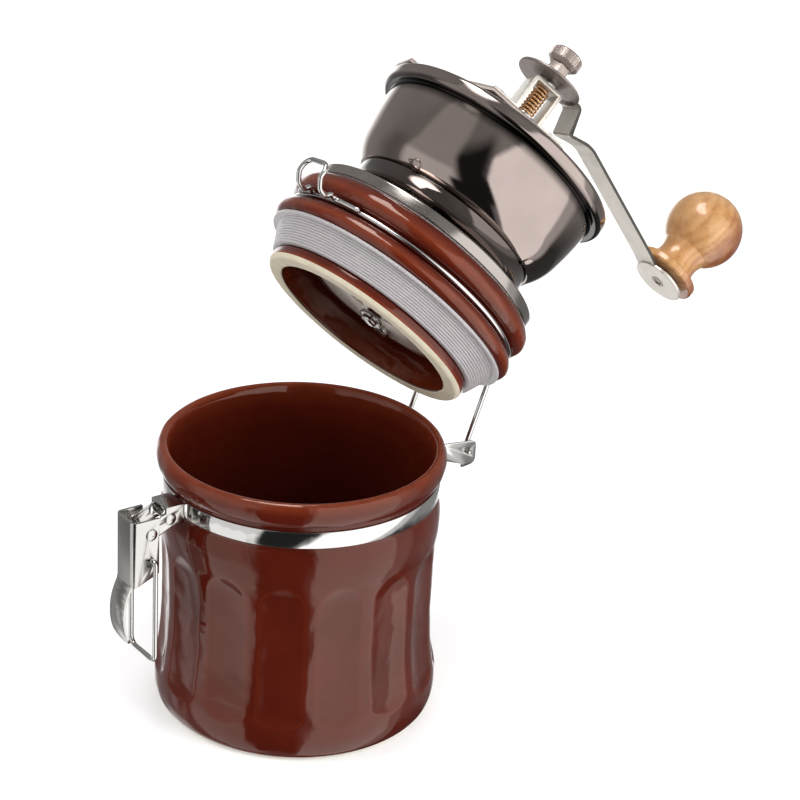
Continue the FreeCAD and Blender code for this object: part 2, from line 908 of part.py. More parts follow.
def make_saddle():
    """Folded saddle riveted over the ears; its cheeks carry the lever's pivot."""
    body = new_body("latch_saddle")
    plane = dim.latch_plane
    nose = dim.saddle_nose
    side = sketch_on(body, "YZ_Plane", "side")
    draw_outline(side, [
        (-(plane + dim.saddle_back), dim.saddle_high),
        (-(plane + dim.saddle_back), dim.band_low),
        (-(plane + dim.rivet_out), dim.band_low - 1),
        (-(plane + dim.pivot_out), dim.pivot_level - nose),
        (-(plane + dim.pivot_out + nose), dim.pivot_level, nose, -1),
        (-(plane + dim.pivot_out), dim.pivot_level + nose, nose, -1),
        (-(plane + dim.saddle_front), dim.lever_high),
        (-(plane + dim.saddle_front), dim.saddle_high),
    ])
    add_pad(body, side, "block", 2 * dim.saddle_outer, symmetric=True)
    channel = sketch_on(body, "XZ_Plane", "channel", plane - WELL_PAST)
    under = dim.saddle_high - dim.saddle_plate
    draw_outline(channel, [
        (-dim.saddle_inner, dim.pivot_level - 2 * nose),
        (dim.saddle_inner, dim.pivot_level - 2 * nose),
        (dim.saddle_inner, under),
        (-dim.saddle_inner, under),
    ])
    add_pocket(body, channel, "fold", 4 * nose + 4 * WELL_PAST, flip=True)
    cross_hole(body, "rivet_hole", dim.rivet_out, dim.rivet_level, dim.rivet_radius + dim.running_gap,
               4 * dim.saddle_outer)
    cross_hole(body, "pivot_hole", dim.pivot_out, dim.pivot_level, dim.pivot_radius + dim.running_gap,
               4 * dim.saddle_outer)
    keep(body, LATCH_PLACE)


def make_lever():
    """Pressed channel lever with a curved thumb tab."""
    body = new_body("latch_lever")
    plane = dim.latch_plane
    front = plane + dim.lever_front
    sheet_inner = front - dim.lever_sheet
    side = sketch_on(body, "YZ_Plane", "side")
    draw_outline(side, [
        (-(plane + dim.lever_back), dim.lever_high),
        (-front, dim.lever_high),
        (-front, dim.lever_low),
        (-sheet_inner, dim.lever_low),
        (-(plane + dim.lever_back), dim.lever_back_low),
    ])
    add_pad(body, side, "block", 2 * dim.lever_outer, symmetric=True)
    add_fillet(body, "bends", dim.lever_bend, lambda edge: (
        abs(edge.BoundBox.YMax + front.value) < 0.01
        and edge.BoundBox.XLength < 0.01
        and edge.BoundBox.ZLength > dim.lever_bend.value
    ))
    hollow = sketch_on(body, "XY_Plane", "hollow", dim.lever_low - WELL_PAST)
    inner_bend = dim.lever_bend - dim.lever_sheet
    draw_outline(hollow, [
        (-dim.lever_inner, -plane),
        (-dim.lever_inner, -(sheet_inner - inner_bend)),
        (-(dim.lever_inner - inner_bend), -sheet_inner, inner_bend, 1),
        (dim.lever_inner - inner_bend, -sheet_inner),
        (dim.lever_inner, -(sheet_inner - inner_bend), inner_bend, 1),
        (dim.lever_inner, -plane),
    ])
    add_pocket(body, hollow, "channel", dim.lever_high - dim.lever_low + 2 * WELL_PAST, flip=True)
    tab = sketch_on(body, "YZ_Plane", "tab")
    belly = plane + dim.tab_belly
    tip = plane + dim.tab_tip
    sheet = dim.lever_sheet
    draw_outline(tab, [
        (-front, dim.lever_low + PAST),
        (-front, dim.lever_low),
        (-belly, dim.tab_belly_level, dim.tab_front_high_round, 1),
        (-tip, dim.tab_tip_level, dim.tab_front_low_round, 1),
        (-(tip - sheet), dim.tab_tip_level),
        (-(belly - sheet), dim.tab_belly_level, dim.tab_back_low_round, -1),
        (-sheet_inner, dim.lever_low, dim.tab_back_high_round, -1),
        (-sheet_inner, dim.lever_low + PAST),
    ])
    add_pad(body, tab, "thumb_tab", 2 * (dim.lever_outer - inner_bend), symmetric=True)
    tab_half = dim.lever_outer - inner_bend
    round_tip = dim.tab_corner
    low = dim.tab_tip_level
    corners = sketch_on(body, "XZ_Plane", "tab_corners", plane)
    for side_sign, turn in ((1, -1), (-1, 1)):
        draw_outline(corners, [
            (side_sign * (tab_half - round_tip), low - PAST),
            (side_sign * (tab_half + PAST), low - PAST),
            (side_sign * (tab_half + PAST), low + round_tip),
            (side_sign * tab_half, low + round_tip),
            (side_sign * (tab_half - round_tip), low, round_tip, turn),
        ])
    add_pocket(body, corners, "tab_rounding", dim.tab_belly + 2 * PAST, flip=True)
    cross_hole(body, "pivot_hole", dim.pivot_out, dim.pivot_level, dim.pivot_radius + dim.running_gap,
               4 * dim.lever_outer)
    cross_hole(body, "bail_hole", dim.bail_out, dim.bail_level, dim.bail_wire + dim.running_gap,
               4 * dim.lever_outer)
    keep(body, LATCH_PLACE)


def make_bail():
    """Wire bail that hangs from the lever and hooks over the lid's loop."""
    out = -(dim.latch_plane + dim.bail_out).value
    top = dim.bail_level.value
    low = top - dim.bail_long.value
    half = dim.bail_half.value
    points = [Vector(dim.bail_end.value, out, top), Vector(half, out, top), Vector(half, out, low)]
    radii = [dim.bail_knee.value, dim.bail_corner.value]
    keep(formed("latch_bail", tube(mirrored_route(points, radii), dim.bail_wire.value)), LATCH_PLACE)


# Hinge bracket

def make_bracket():
    """Folded bracket on the band whose two ears hold the ends of the lid's wire."""
    body = new_body("hinge_bracket")
    half = dim.bracket_half
    half_in = half - dim.bracket_sheet
    inner = dim.neck_radius + dim.band_gap + dim.band_thick
    outer = inner + dim.bracket_sheet
    back = root(inner * inner - half * half)
    web = root(outer * outer - half_in * half_in)
    reach = dim.bracket_reach
    strip = sketch_on(body, "XY_Plane", "strip", dim.bracket_low)
    draw_outline(strip, [
        (half, back, inner, -1),
        (half, reach),
        (half_in, reach),
        (half_in, web),
        (-half_in, web, outer, 1),
        (-half_in, reach),
        (-half, reach),
        (-half, back),
    ])
    add_pad(body, strip, "sheet", dim.band_high - dim.bracket_low)
    above = sketch_on(body, "YZ_Plane", "above")
    draw_outline(above, [
        (outer + dim.bracket_step, dim.band_high),
        (reach + PAST, dim.bracket_tip_high),
        (reach + PAST, dim.band_high + PAST),
        (outer + dim.bracket_step, dim.band_high + PAST),
    ])
    add_pocket(body, above, "top_slope", 4 * half, symmetric=True)
    below = sketch_on(body, "YZ_Plane", "below")
    draw_outline(below, [
        (back - WELL_PAST, dim.bracket_low - PAST),
        (back - WELL_PAST, dim.band_low),
        (outer + PAST, dim.band_low),
        (reach - dim.bracket_slope, dim.bracket_tip_low),
        (reach - dim.bracket_slope, dim.bracket_low - PAST),
    ])
    add_pocket(body, below, "low_slope", 4 * half, symmetric=True)
    hole = sketch_on(body, "YZ_Plane", "hole")
    draw_circle(hole, dim.hinge_out, dim.hinge_level, dim.ring_wire + dim.running_gap)
    add_pocket(body, hole, "wire_hole", 4 * half, symmetric=True)
    add_fillet(body, "tips", dim.bracket_tip_round, lambda edge: (
        edge.BoundBox.YMin > reach.value - 0.01 and edge.BoundBox.ZLength < 0.01
    ))
    keep(body)


# Lid pieces, drawn closed

def make_lid_body():
    """Glazed lid: a foot that enters the jar, a ledge over its bead, and a wire groove."""
    body = new_body("lid_body")
    groove_root = dim.groove_mouth - dim.groove_round
    groove_middle = dim.groove_low + dim.groove_round
    groove_high = groove_middle + dim.groove_round
    sketch = sketch_on(body, "XZ_Plane", "outline")
    draw_outline(sketch, [
        (dim.lid_hollow, dim.lid_foot),
        (dim.lid_foot_radius, dim.lid_foot),
        (dim.lid_ring_radius, dim.lid_ring_low, dim.lid_ring_round, 1),
        (dim.lid_ring_radius, dim.lid_ring_high),
        (dim.lid_seat_radius, dim.lid_seat_low, dim.lid_seat_round, 1),
        (dim.lid_seat_radius, dim.lid_seat_high),
        (dim.lid_ledge, dim.lid_seat_high),
        (dim.lid_low_bead, dim.lid_low_bead_level, dim.lid_low_bead_under, 1),
        (dim.groove_mouth, dim.groove_low, dim.lid_low_bead_over, 1),
        (groove_root, groove_middle, dim.groove_round, -1),
        (dim.groove_mouth, groove_high, dim.groove_round, -1),
        (dim.lid_high_bead, dim.lid_high_bead_level, dim.lid_high_bead_under, 1),
        (dim.lid_top_radius, dim.lid_top, dim.lid_high_bead_over, 1),
        (dim.burr_bore, dim.lid_top),
        (dim.burr_bore, dim.lid_ceiling),
        (dim.lid_hollow, dim.lid_ceiling),
    ])
    add_turned(body, sketch, "turned")
    holes = sketch_on(body, "XY_Plane", "bolt_hole", dim.lid_ceiling - PAST)
    draw_circle(holes, dim.bolt_ring, 0, dim.bolt_radius + dim.bolt_gap)
    pocket = add_pocket(body, holes, "bolt_bore", dim.lid_top - dim.lid_ceiling + 2 * PAST, flip=True)
    add_polar(body, [pocket], "bolt_bores", dim.bolt_count)
    keep(body, LID_OPEN)


def make_gasket():
    """Soft ribbed gasket: a flange that the bead meets and thin fins below it."""
    corners = [(dim.gasket_inner, dim.gasket_low), (dim.gasket_web, dim.gasket_low)]
    for number in range(round(dim.fin_count.value)):
        level = dim.fin_first_level + number * dim.fin_step
        reach = dim.fin_first_radius + number * dim.fin_growth
        corners += [
            (dim.gasket_web, level - dim.fin_root),
            (reach, level + dim.fin_rise - dim.fin_tip),
            (reach, level + dim.fin_rise + dim.fin_tip),
            (dim.gasket_web, level + dim.fin_root),
        ]
    corners += [
        (dim.gasket_web, dim.gasket_flange_low),
        (dim.gasket_flange, dim.gasket_flange_low),
        (dim.gasket_flange, dim.gasket_flange_high),
        (dim.gasket_inner, dim.gasket_flange_high),
    ]
    keep(turned_body("lid_gasket", corners), LID_OPEN)


def turned_out(radius, corner, half):
    """Where a wire round the lid leaves it: the angle from the leg's side and the leg's start."""
    angle = math.asin((half + corner) / (radius + corner))
    leg_start = math.cos(angle) * (radius + corner)
    return angle, leg_start


def ring_point(radius, angle, level, side):
    """A point on a ring, measured from the Y axis on the named side."""
    return Vector(radius * math.sin(angle), side * radius * math.cos(angle), level)


def leaving_arc(radius, corner, half, level, side):
    """The bend from the ring into a leg that runs straight out."""
    angle, leg_start = turned_out(radius, corner, half)
    start = ring_point(radius, angle, level, side)
    end = Vector(half, side * leg_start, level)
    centre = Vector(half + corner, side * leg_start, level)
    middle_way = ((start - centre) + (end - centre)).normalize()
    return Part.Arc(start, centre + middle_way * corner, end).toShape(), angle, end


def mirror_edges(edges):
    """The same path on the -X side."""
    return [edge.mirror(Vector(), X_AXIS) for edge in edges]


def make_lid_wire():
    """Wire that lies in the lid's groove and reaches back to the hinge ears."""
    radius = dim.ring_radius.value
    level = dim.ring_level.value
    half = dim.leg_half.value
    out = dim.hinge_out.value
    bend, angle, leg = leaving_arc(radius, dim.ring_corner.value, half, level, 1)
    ring = [
        Part.Arc(
            ring_point(radius, first, level, 1),
            ring_point(radius, (first + last) / 2, level, 1),
            ring_point(radius, last, level, 1),
        ).toShape()
        for first, last in ((angle, math.pi / 2), (math.pi / 2, math.pi))
    ]
    points = [
        leg,
        Vector(half, dim.leg_start_out.value, level),
        Vector(half, dim.leg_knee_out.value, dim.leg_knee_level.value),
        Vector(half, out, dim.hinge_level.value),
        Vector(dim.leg_end_half.value, out, dim.hinge_level.value),
    ]
    radii = [dim.leg_bend.value, dim.leg_bend.value, dim.leg_foot_bend.value]
    right = ring + [bend] + route(points, radii)
    edges = Part.__sortEdges__(right + mirror_edges(right))
    keep(formed("lid_wire", tube(edges, dim.ring_wire.value)), LID_OPEN)


def make_lid_hook():
    """Wire loop on the front of the lid that the bail pulls on."""
    radius = dim.hook_ring_radius.value
    level = dim.ring_level.value
    half = dim.hook_half.value
    bend, angle, leg = leaving_arc(radius, dim.hook_corner.value, half, level, -1)
    reach = angle + math.radians(dim.hook_overlap.value)
    tail = Part.Arc(
        ring_point(radius, reach, level, -1),
        ring_point(radius, (reach + angle) / 2, level, -1),
        ring_point(radius, angle, level, -1),
    ).toShape()
    points = [
        leg,
        Vector(half, -dim.hook_start_out.value, level),
        Vector(half, -dim.hook_dip_out.value, dim.hook_dip_level.value),
        Vector(half, -dim.hook_turn_out.value, dim.hook_turn_level.value),
        Vector(half, -dim.hook_rise_out.value, dim.hook_rise_level.value),
        Vector(half, -dim.hook_top_out.value, dim.hook_top_level.value),
        Vector(0, -dim.hook_top_out.value, dim.hook_top_level.value),
    ]
    radii = [
        dim.hook_bend_start.value,
        dim.hook_bend_dip.value,
        dim.hook_bend_rise.value,
        dim.hook_bend_rise.value,
        dim.hook_bend_top.value,
    ]
    right = [tail, bend] + route(points, radii)
    edges = Part.__sortEdges__(right + mirror_edges(right))
    keep(formed("lid_hook", tube(edges, dim.hook_wire.value)), HOOK_PLACE)


# Grinding set under the lid

def burr_levels():
    """Foot and top of the fixed burr, and how much the set is stretched to fill the lid."""
    foot = dim.lid_ceiling + dim.burr_lift
    top = dim.lid_top - dim.burr_drop
    return foot, top, (top - foot) / dim.burr_drawn_tall


def make_outer_burr():
    """Fixed burr ring with a conical mouth, seated in the lid's bore."""
    name = "outer_burr"
    low, high, _ = burr_levels()
    ring = doc.addObject("Part::Cylinder", f"{name}_blank")
    bind(ring, "Radius", dim.outer_burr_radius)
    bind(ring, "Height", high - low)
    ring.setExpression(".Placement.Base.z", low.text)
    mouth = doc.addObject("Part::Cone", f"{name}_mouth")
    bind(mouth, "Radius1", dim.outer_burr_flare)
    bind(mouth, "Radius2", dim.outer_burr_mouth)
    bind(mouth, "Height", high - low)
    mouth.setExpression(".Placement.Base.z", low.text)
    piece = doc.addObject("Part::Cut", name)
    piece.Label = name
    piece.Base = ring
    piece.Tool = mouth
    keep(piece, LID_OPEN)


def make_inner_burr():
    """Conical burr on the shaft, with cutting grooves round it."""
    body = new_body("inner_burr")
    ring_low, ring_high, stretch = burr_levels()
    low = ring_low + dim.inner_burr_rise * stretch
    high = ring_high - dim.inner_burr_drop * stretch
    sketch = sketch_on(body, "XZ_Plane", "outline")
    draw_outline(sketch, [
        (dim.shaft_radius, low),
        (dim.inner_burr_flare, low),
        (dim.inner_burr_flare, low + dim.inner_burr_lip * stretch),
        (dim.inner_burr_top, high),
        (dim.shaft_radius, high),
    ])
    add_turned(body, sketch, "turned")
    groove = sketch_on(body, "XZ_Plane", "groove")
    deep = dim.burr_groove_depth
    draw_outline(groove, [
        (dim.inner_burr_flare - deep, low - PAST),
        (dim.inner_burr_flare + 2 * PAST, low - PAST),
        (dim.inner_burr_flare + 2 * PAST, high + PAST),
        (dim.inner_burr_top - deep, high + PAST),
        (dim.inner_burr_top - deep, high),
    ])
    pocket = add_pocket(body, groove, "groove_cut", dim.burr_groove_wide, symmetric=True)
    add_polar(body, [pocket], "grooves", dim.burr_groove_count)
    keep(body, CRANK_PLACE)


def make_carrier():
    """Disc under the burrs, with three windows for the grounds and a bearing hub."""
    body = new_body("burr_carrier")
    low = dim.lid_ceiling - dim.carrier_thick
    disc = sketch_on(body, "XY_Plane", "disc", low)
    draw_circle(disc, 0, 0, dim.carrier_radius)
    draw_circle(disc, 0, 0, dim.shaft_radius + dim.running_gap)
    add_pad(body, disc, "plate", dim.carrier_thick)
    hub = sketch_on(body, "XY_Plane", "hub", dim.lid_ceiling - dim.carrier_hub_tall)
    draw_circle(hub, 0, 0, dim.carrier_hub)
    draw_circle(hub, 0, 0, dim.shaft_radius + dim.running_gap)
    add_pad(body, hub, "bearing", dim.carrier_hub_tall)
    window = sketch_on(body, "XY_Plane", "window", low - PAST)
    inner = dim.carrier_window_inner
    outer = dim.carrier_window_outer
    spoke = dim.spoke_half
    near = root(inner * inner - spoke * spoke)
    far = root(outer * outer - spoke * spoke)
    cosine = -0.5
    sine = math.sqrt(3) / 2
    draw_outline(window, [
        (near, spoke, inner, -1),
        (far, spoke),
        (cosine * far + sine * spoke, sine * far - cosine * -spoke, outer, 1),
        (cosine * near + sine * spoke, sine * near - cosine * -spoke),
    ])
    pocket = add_pocket(body, window, "window_cut", dim.carrier_thick + 2 * PAST, flip=True)
    add_polar(body, [pocket], "windows", dim.bolt_count)
    doc.recompute()
    hole = sketch_on(body, "XY_Plane", "bolt_hole", low - PAST)
    draw_circle(hole, dim.bolt_ring, 0, dim.bolt_radius + dim.bolt_gap)
    bore = add_pocket(body, hole, "bolt_bore", dim.carrier_thick + 2 * PAST, flip=True)
    add_polar(body, [bore], "bolt_bores", dim.bolt_count)
    keep(body, LID_OPEN)


def make_bolts():
    """Three long bolts that clamp carrier, lid, seal and hopper base, and their nuts."""
    seat = dim.lid_ceiling - dim.carrier_thick
    head_low = seat - dim.bolt_head_tall
    head_round = dim.bolt_head_round
    nut_low = dim.lid_top + dim.seal_thick + dim.base_sheet
    bolts = new_body("mount_bolts")
    sketch = sketch_on(bolts, "XZ_Plane", "outline")
    draw_axis(sketch, dim.bolt_ring)
    draw_outline(sketch, [
        (dim.bolt_ring, head_low),
        (dim.bolt_ring + dim.bolt_head_radius - head_round, head_low),
        (dim.bolt_ring + dim.bolt_head_radius, head_low + head_round, head_round, 1),
        (dim.bolt_ring + dim.bolt_head_radius, seat),
        (dim.bolt_ring + dim.bolt_radius, seat),
        (dim.bolt_ring + dim.bolt_radius, dim.bolt_top),
        (dim.bolt_ring, dim.bolt_top),
    ])
    turned = add_turned(bolts, sketch, "turned", own_axis=True)
    add_polar(bolts, [turned], "set", dim.bolt_count)
    keep(bolts, LID_OPEN)
    nuts = new_body("mount_nuts")
    outline = sketch_on(nuts, "XY_Plane", "outline", nut_low)
    draw_outline(outline, hexagon(dim.bolt_ring, as_size(0), dim.nut_across))
    draw_circle(outline, dim.bolt_ring, 0, dim.bolt_radius + dim.nut_gap)
    pad = add_pad(nuts, outline, "nut", dim.nut_tall)
    add_polar(nuts, [pad], "set", dim.bolt_count)
    keep(nuts, LID_OPEN)


def make_shaft():
    """Drive shaft from the lower bearing to the thumb nut, and the clip at its foot."""
    low = dim.lid_ceiling - dim.shaft_foot
    keep(turned_body("drive_shaft", [
        (0, low),
        (dim.shaft_radius - dim.shaft_chamfer, low),
        (dim.shaft_radius, low + dim.shaft_chamfer),
        (dim.shaft_radius, dim.shaft_step),
        (dim.shaft_thin, dim.shaft_step),
        (dim.shaft_thin, dim.shaft_top),
        (0, dim.shaft_top),
    ]), CRANK_PLACE)
    clip_low = dim.lid_ceiling - dim.clip_drop
    keep(washer("shaft_clip", dim.clip_radius, dim.shaft_radius, clip_low,
                clip_low + dim.clip_thick), CRANK_PLACE)


# Hopper

def make_hopper():
    """Flange seal, dished base, bowl with a rolled rim, inner funnel and shaft guide."""
    low = dim.lid_top + dim.seal_thick
    seal_out = dim.lid_top_radius - dim.seal_inset
    keep(washer("flange_seal", seal_out, dim.seal_bore, dim.lid_top, low), LID_OPEN)

    base = new_body("hopper_base")
    sheet_top = low + dim.base_sheet
    neck_in = dim.base_neck_radius - dim.base_sheet
    lip_in = dim.flange_radius - dim.base_lip_in
    sketch = sketch_on(base, "XZ_Plane", "outline")
    draw_outline(sketch, [
        (dim.seal_inner, low),
        (dim.flange_radius, low),
        (dim.flange_radius, dim.flange_high),
        (dim.flange_radius - dim.flange_round, dim.flange_high + dim.flange_round, dim.flange_round, 1),
        (dim.base_neck_radius, dim.base_neck_low, dim.base_curve, -1),
        (dim.base_neck_radius, dim.base_neck_high),
        (neck_in, dim.base_neck_high),
        (neck_in, dim.base_neck_low),
        (lip_in, dim.flange_high - dim.base_lip_drop, dim.base_inner_curve, 1),
        (lip_in, sheet_top),
        (dim.seal_inner, sheet_top),
    ])
    add_turned(base, sketch, "turned")
    hole = sketch_on(base, "XY_Plane", "bolt_hole", low - PAST)
    draw_circle(hole, dim.bolt_ring, 0, dim.bolt_radius + dim.bolt_gap)
    bore = add_pocket(base, hole, "bolt_bore", dim.base_sheet + 2 * PAST, flip=True)
    add_polar(base, [bore], "bolt_bores", dim.bolt_count)
    keep(base, LID_OPEN)

    skin = dim.bowl_sheet
    collar_in = dim.bowl_collar - skin
    keep(turned_body("hopper_bowl", [
        (collar_in, dim.bowl_collar_low),
        (dim.bowl_collar, dim.bowl_collar_low),
        (dim.bowl_collar, dim.bowl_foot),
        (dim.bowl_foot_radius, dim.bowl_foot),
        (dim.bowl_mid_radius, dim.bowl_mid_level, dim.bowl_low_curve, 1),
        (dim.bowl_high_radius, dim.bowl_high_level, dim.bowl_high_curve, 1),
        (dim.bowl_high_radius, dim.rim_low),
        (dim.rim_radius - dim.rim_round, dim.rim_low),
        (dim.rim_radius, dim.rim_low + dim.rim_round, dim.rim_round, 1),
        (dim.rim_radius, dim.rim_top - dim.rim_round),
        (dim.rim_radius - dim.rim_round, dim.rim_top, dim.rim_round, 1),
        (dim.rim_inner, dim.rim_top),
        (dim.rim_inner, dim.bowl_high_level),
        (dim.bowl_mid_radius - skin, dim.bowl_mid_level, dim.bowl_high_curve - skin, -1),
        (dim.bowl_foot_radius - skin, dim.bowl_foot + skin, dim.bowl_low_curve - skin, -1),
        (collar_in, dim.bowl_foot + skin),
    ]), LID_OPEN)

    thin = dim.funnel_sheet
    keep(turned_body("hopper_funnel", [
        (dim.funnel_throat, sheet_top),
        (dim.funnel_foot, sheet_top),
        (dim.funnel_foot, dim.funnel_throat_high),
        (dim.funnel_top_radius, dim.funnel_top - thin),
        (dim.funnel_top_radius, dim.funnel_top),
        (dim.funnel_throat, dim.funnel_throat_high + dim.funnel_lip),
    ]), LID_OPEN)


def make_guide():
    """Cross-bar in the throat with a bearing for the shaft."""
    body = new_body("shaft_guide")
    throat = dim.funnel_throat - dim.guide_gap
    end = root(throat * throat - dim.guide_half * dim.guide_half)
    bore = dim.shaft_radius + dim.running_gap
    bar = sketch_on(body, "XY_Plane", "bar", dim.guide_low)
    draw_outline(bar, [
        (-end, -dim.guide_half),
        (end, -dim.guide_half),
        (end, dim.guide_half, throat, 1),
        (-end, dim.guide_half),
    ])
    draw_circle(bar, 0, 0, bore)
    add_pad(body, bar, "plate", dim.guide_thick)
    hub = sketch_on(body, "XY_Plane", "hub", dim.guide_low)
    draw_circle(hub, 0, 0, dim.guide_hub)
    draw_circle(hub, 0, 0, bore)
    add_pad(body, hub, "bearing", dim.guide_hub_tall)
    keep(body, BRIDGE_PLACE)


# Bridge, arch and adjuster

def make_bridge():
    """Strip over the hopper's mouth that carries the upper bearing and the arch."""
    body = new_body("hopper_bridge")
    top = dim.bridge_top
    under = top - dim.bridge_sheet
    foot_top = dim.rim_top + dim.bridge_sheet
    right = [
        (dim.bridge_plateau, top),
        (dim.bridge_foot, foot_top),
        (dim.bridge_end, foot_top),
        (dim.bridge_end, dim.rim_top),
        (dim.bridge_foot_under, dim.rim_top),
        (dim.bridge_plateau_under, under),
    ]
    left = [(-x, z) for x, z in reversed(right)]
    side = sketch_on(body, "XZ_Plane", "side")
    draw_outline(side, right + left)
    add_pad(body, side, "sheet", 2 * dim.bridge_half, symmetric=True)
    holes = sketch_on(body, "XY_Plane", "holes", under - PAST)
    draw_circle(holes, 0, 0, dim.upper_bush_radius + dim.nut_gap)
    for side_sign in (1, -1):
        draw_circle(holes, side_sign * dim.arch_screw_out, 0, dim.arch_screw_radius + dim.screw_gap)
    add_pocket(body, holes, "bores", dim.bridge_sheet + 2 * PAST, flip=True)
    keep(body, BRIDGE_PLACE)


def make_arch():
    """Arch over the bearing that holds the adjuster spring down, with its two feet."""
    body = new_body("arch_bracket")
    foot = dim.bridge_top
    foot_top = foot + dim.arch_sheet
    leg_out = dim.arch_leg + dim.arch_sheet
    under = dim.arch_top - dim.arch_sheet
    bend = dim.arch_bend
    right = [
        (leg_out, dim.arch_top - bend),
        (leg_out, foot_top),
        (dim.arch_end, foot_top),
        (dim.arch_end, foot),
        (dim.arch_leg, foot),
        (dim.arch_leg, under),
    ]
    left = [(-x, z) for x, z in reversed(right)]
    outline = [(leg_out, dim.arch_top - bend, bend, -1)] + right[1:] + left[:-1]
    outline += [(-leg_out, dim.arch_top - bend), (-(leg_out - bend), dim.arch_top, bend, -1),
                (leg_out - bend, dim.arch_top)]
    side = sketch_on(body, "XZ_Plane", "side")
    draw_outline(side, outline)
    add_pad(body, side, "sheet", 2 * dim.arch_half, symmetric=True)
    shaft_hole = sketch_on(body, "XY_Plane", "shaft_hole", under - PAST)
    draw_circle(shaft_hole, 0, 0, dim.shaft_thin + dim.arch_gap)
    add_pocket(body, shaft_hole, "shaft_bore", dim.arch_sheet + 2 * PAST, flip=True)
    screw_holes = sketch_on(body, "XY_Plane", "screw_holes", foot - PAST)
    for side_sign in (1, -1):
        draw_circle(screw_holes, side_sign * dim.arch_screw_out, 0, dim.arch_screw_radius + dim.screw_gap)
    add_pocket(body, screw_holes, "screw_bores", dim.arch_sheet + 2 * PAST, flip=True)
    keep(body, BRIDGE_PLACE)

    two = Size(2.0, "2")
    screws = new_body("arch_screws")
    sketch = sketch_on(screws, "XZ_Plane", "outline")
    out = dim.arch_screw_out
    draw_axis(sketch, out)
    draw_outline(sketch, [
        (out, dim.arch_screw_low),
        (out + dim.arch_screw_radius, dim.arch_screw_low),
        (out + dim.arch_screw_radius, foot_top),
        (out + dim.arch_screw_head, foot_top),
        (out, foot_top + dim.arch_screw_dome, dome_round(dim.arch_screw_head, dim.arch_screw_dome), 1),
    ])
    turned = add_turned(screws, sketch, "turned", own_axis=True)
    add_polar(screws, [turned], "pair", two)
    keep(screws, BRIDGE_PLACE)
    nuts = new_body("arch_nuts")
    outline = sketch_on(nuts, "XY_Plane", "outline", dim.bridge_top - dim.bridge_sheet - dim.arch_nut_tall)
    draw_outline(outline, hexagon(out, as_size(0), dim.arch_nut_across))
    draw_circle(outline, out, 0, dim.arch_screw_radius + dim.nut_gap)
    pad = add_pad(nuts, outline, "nut", dim.arch_nut_tall)
    add_polar(nuts, [pad], "pair", two)
    keep(nuts, BRIDGE_PLACE)


def make_adjuster():
    """Flanged bearing in the bridge, the spring's seat and the spring under the arch."""
    bore = dim.shaft_thin + dim.running_gap
    flange_top = dim.bridge_top + dim.upper_bush_flange_tall
    keep(turned_body("upper_bush", [
        (bore, dim.upper_bush_low),
        (dim.upper_bush_radius, dim.upper_bush_low),
        (dim.upper_bush_radius, dim.bridge_top),
        (dim.upper_bush_flange, dim.bridge_top),
        (dim.upper_bush_flange, flange_top),
        (bore, flange_top),
    ]), BRIDGE_PLACE)
    keep(washer("spring_seat", dim.seat_radius, bore + dim.seat_gap, flange_top, flange_top + dim.seat_thick),
         BRIDGE_PLACE)

    seat = (flange_top + dim.seat_thick).value
    ceiling = (dim.arch_top - dim.arch_sheet).value
    wire = dim.spring_wire.value
    bend = dim.spring_bend.value
    radius = dim.spring_radius.value
    turns = dim.spring_turns.value
    coil_low = seat + 2 * wire + bend
    coil_high = ceiling - 2 * wire - bend
    climb = (coil_high - coil_low) / (2 * math.pi * turns)

    def coil_point(angle):
        return Vector(radius * math.cos(angle), radius * math.sin(angle), coil_low + climb * angle)

    def coil_way(angle):
        return Vector(-radius * math.sin(angle), radius * math.cos(angle), climb).normalize()

    edges = []
    quarters = int(round(4 * turns))
    for quarter in range(quarters):
        first, last = (math.pi / 2 * step for step in (quarter, quarter + 1))
        start, end = coil_point(first), coil_point(last)
        leaving, arriving = coil_way(first), coil_way(last)
        chord = end - start
        both = leaving + arriving
        square = 2 * (1 - leaving.dot(arriving))
        reach = (math.sqrt(chord.dot(both) ** 2 + square * chord.dot(chord)) - chord.dot(both)) / square
        first_corner = start + leaving * reach
        last_corner = end - arriving * reach
        join = (first_corner + last_corner) * 0.5
        edges.append(corner_arc(start, first_corner, join))
        edges.append(corner_arc(join, last_corner, end))

    def end_hook(angle, limit, outward):
        """The straight end of the wire, square to its seat, and the bend into the coil."""
        here = coil_point(angle)
        way = coil_way(angle) * outward
        upward = Vector(0, 0, 1 if limit > here.z else -1)
        reach = bend * math.tan(way.getAngle(upward) / 2)
        corner = here + way * reach
        end = corner + upward * reach
        tip = Vector(end.x, end.y, limit)
        return corner_arc(end, corner, here), Part.LineSegment(tip, end).toShape()

    low_bend, low_end = end_hook(0, seat, -1)
    high_bend, high_end = end_hook(2 * math.pi * turns, ceiling, 1)
    path = Part.__sortEdges__([low_end, low_bend] + edges + [high_bend, high_end])
    keep(formed("adjuster_spring", tube(path, wire)), BRIDGE_PLACE)

    samples = []
    travelled = 0.0
    for edge in path:
        steps = 12
        for step in range(steps):
            portion = step / steps
            where = edge.FirstParameter + portion * (edge.LastParameter - edge.FirstParameter)
            samples.append((travelled + portion * edge.Length, edge.valueAt(where)))
        travelled += edge.Length
    apart = 6 * wire
    least = min(
        first[1].distanceToPoint(second[1])
        for number, first in enumerate(samples)
        for second in samples[number + 1:]
        if second[0] - first[0] > apart
    )
    print(f"spring: {turns} turns, least gap to itself {least - 2 * wire:.3f} mm")


# Crank head, crank arm and knob

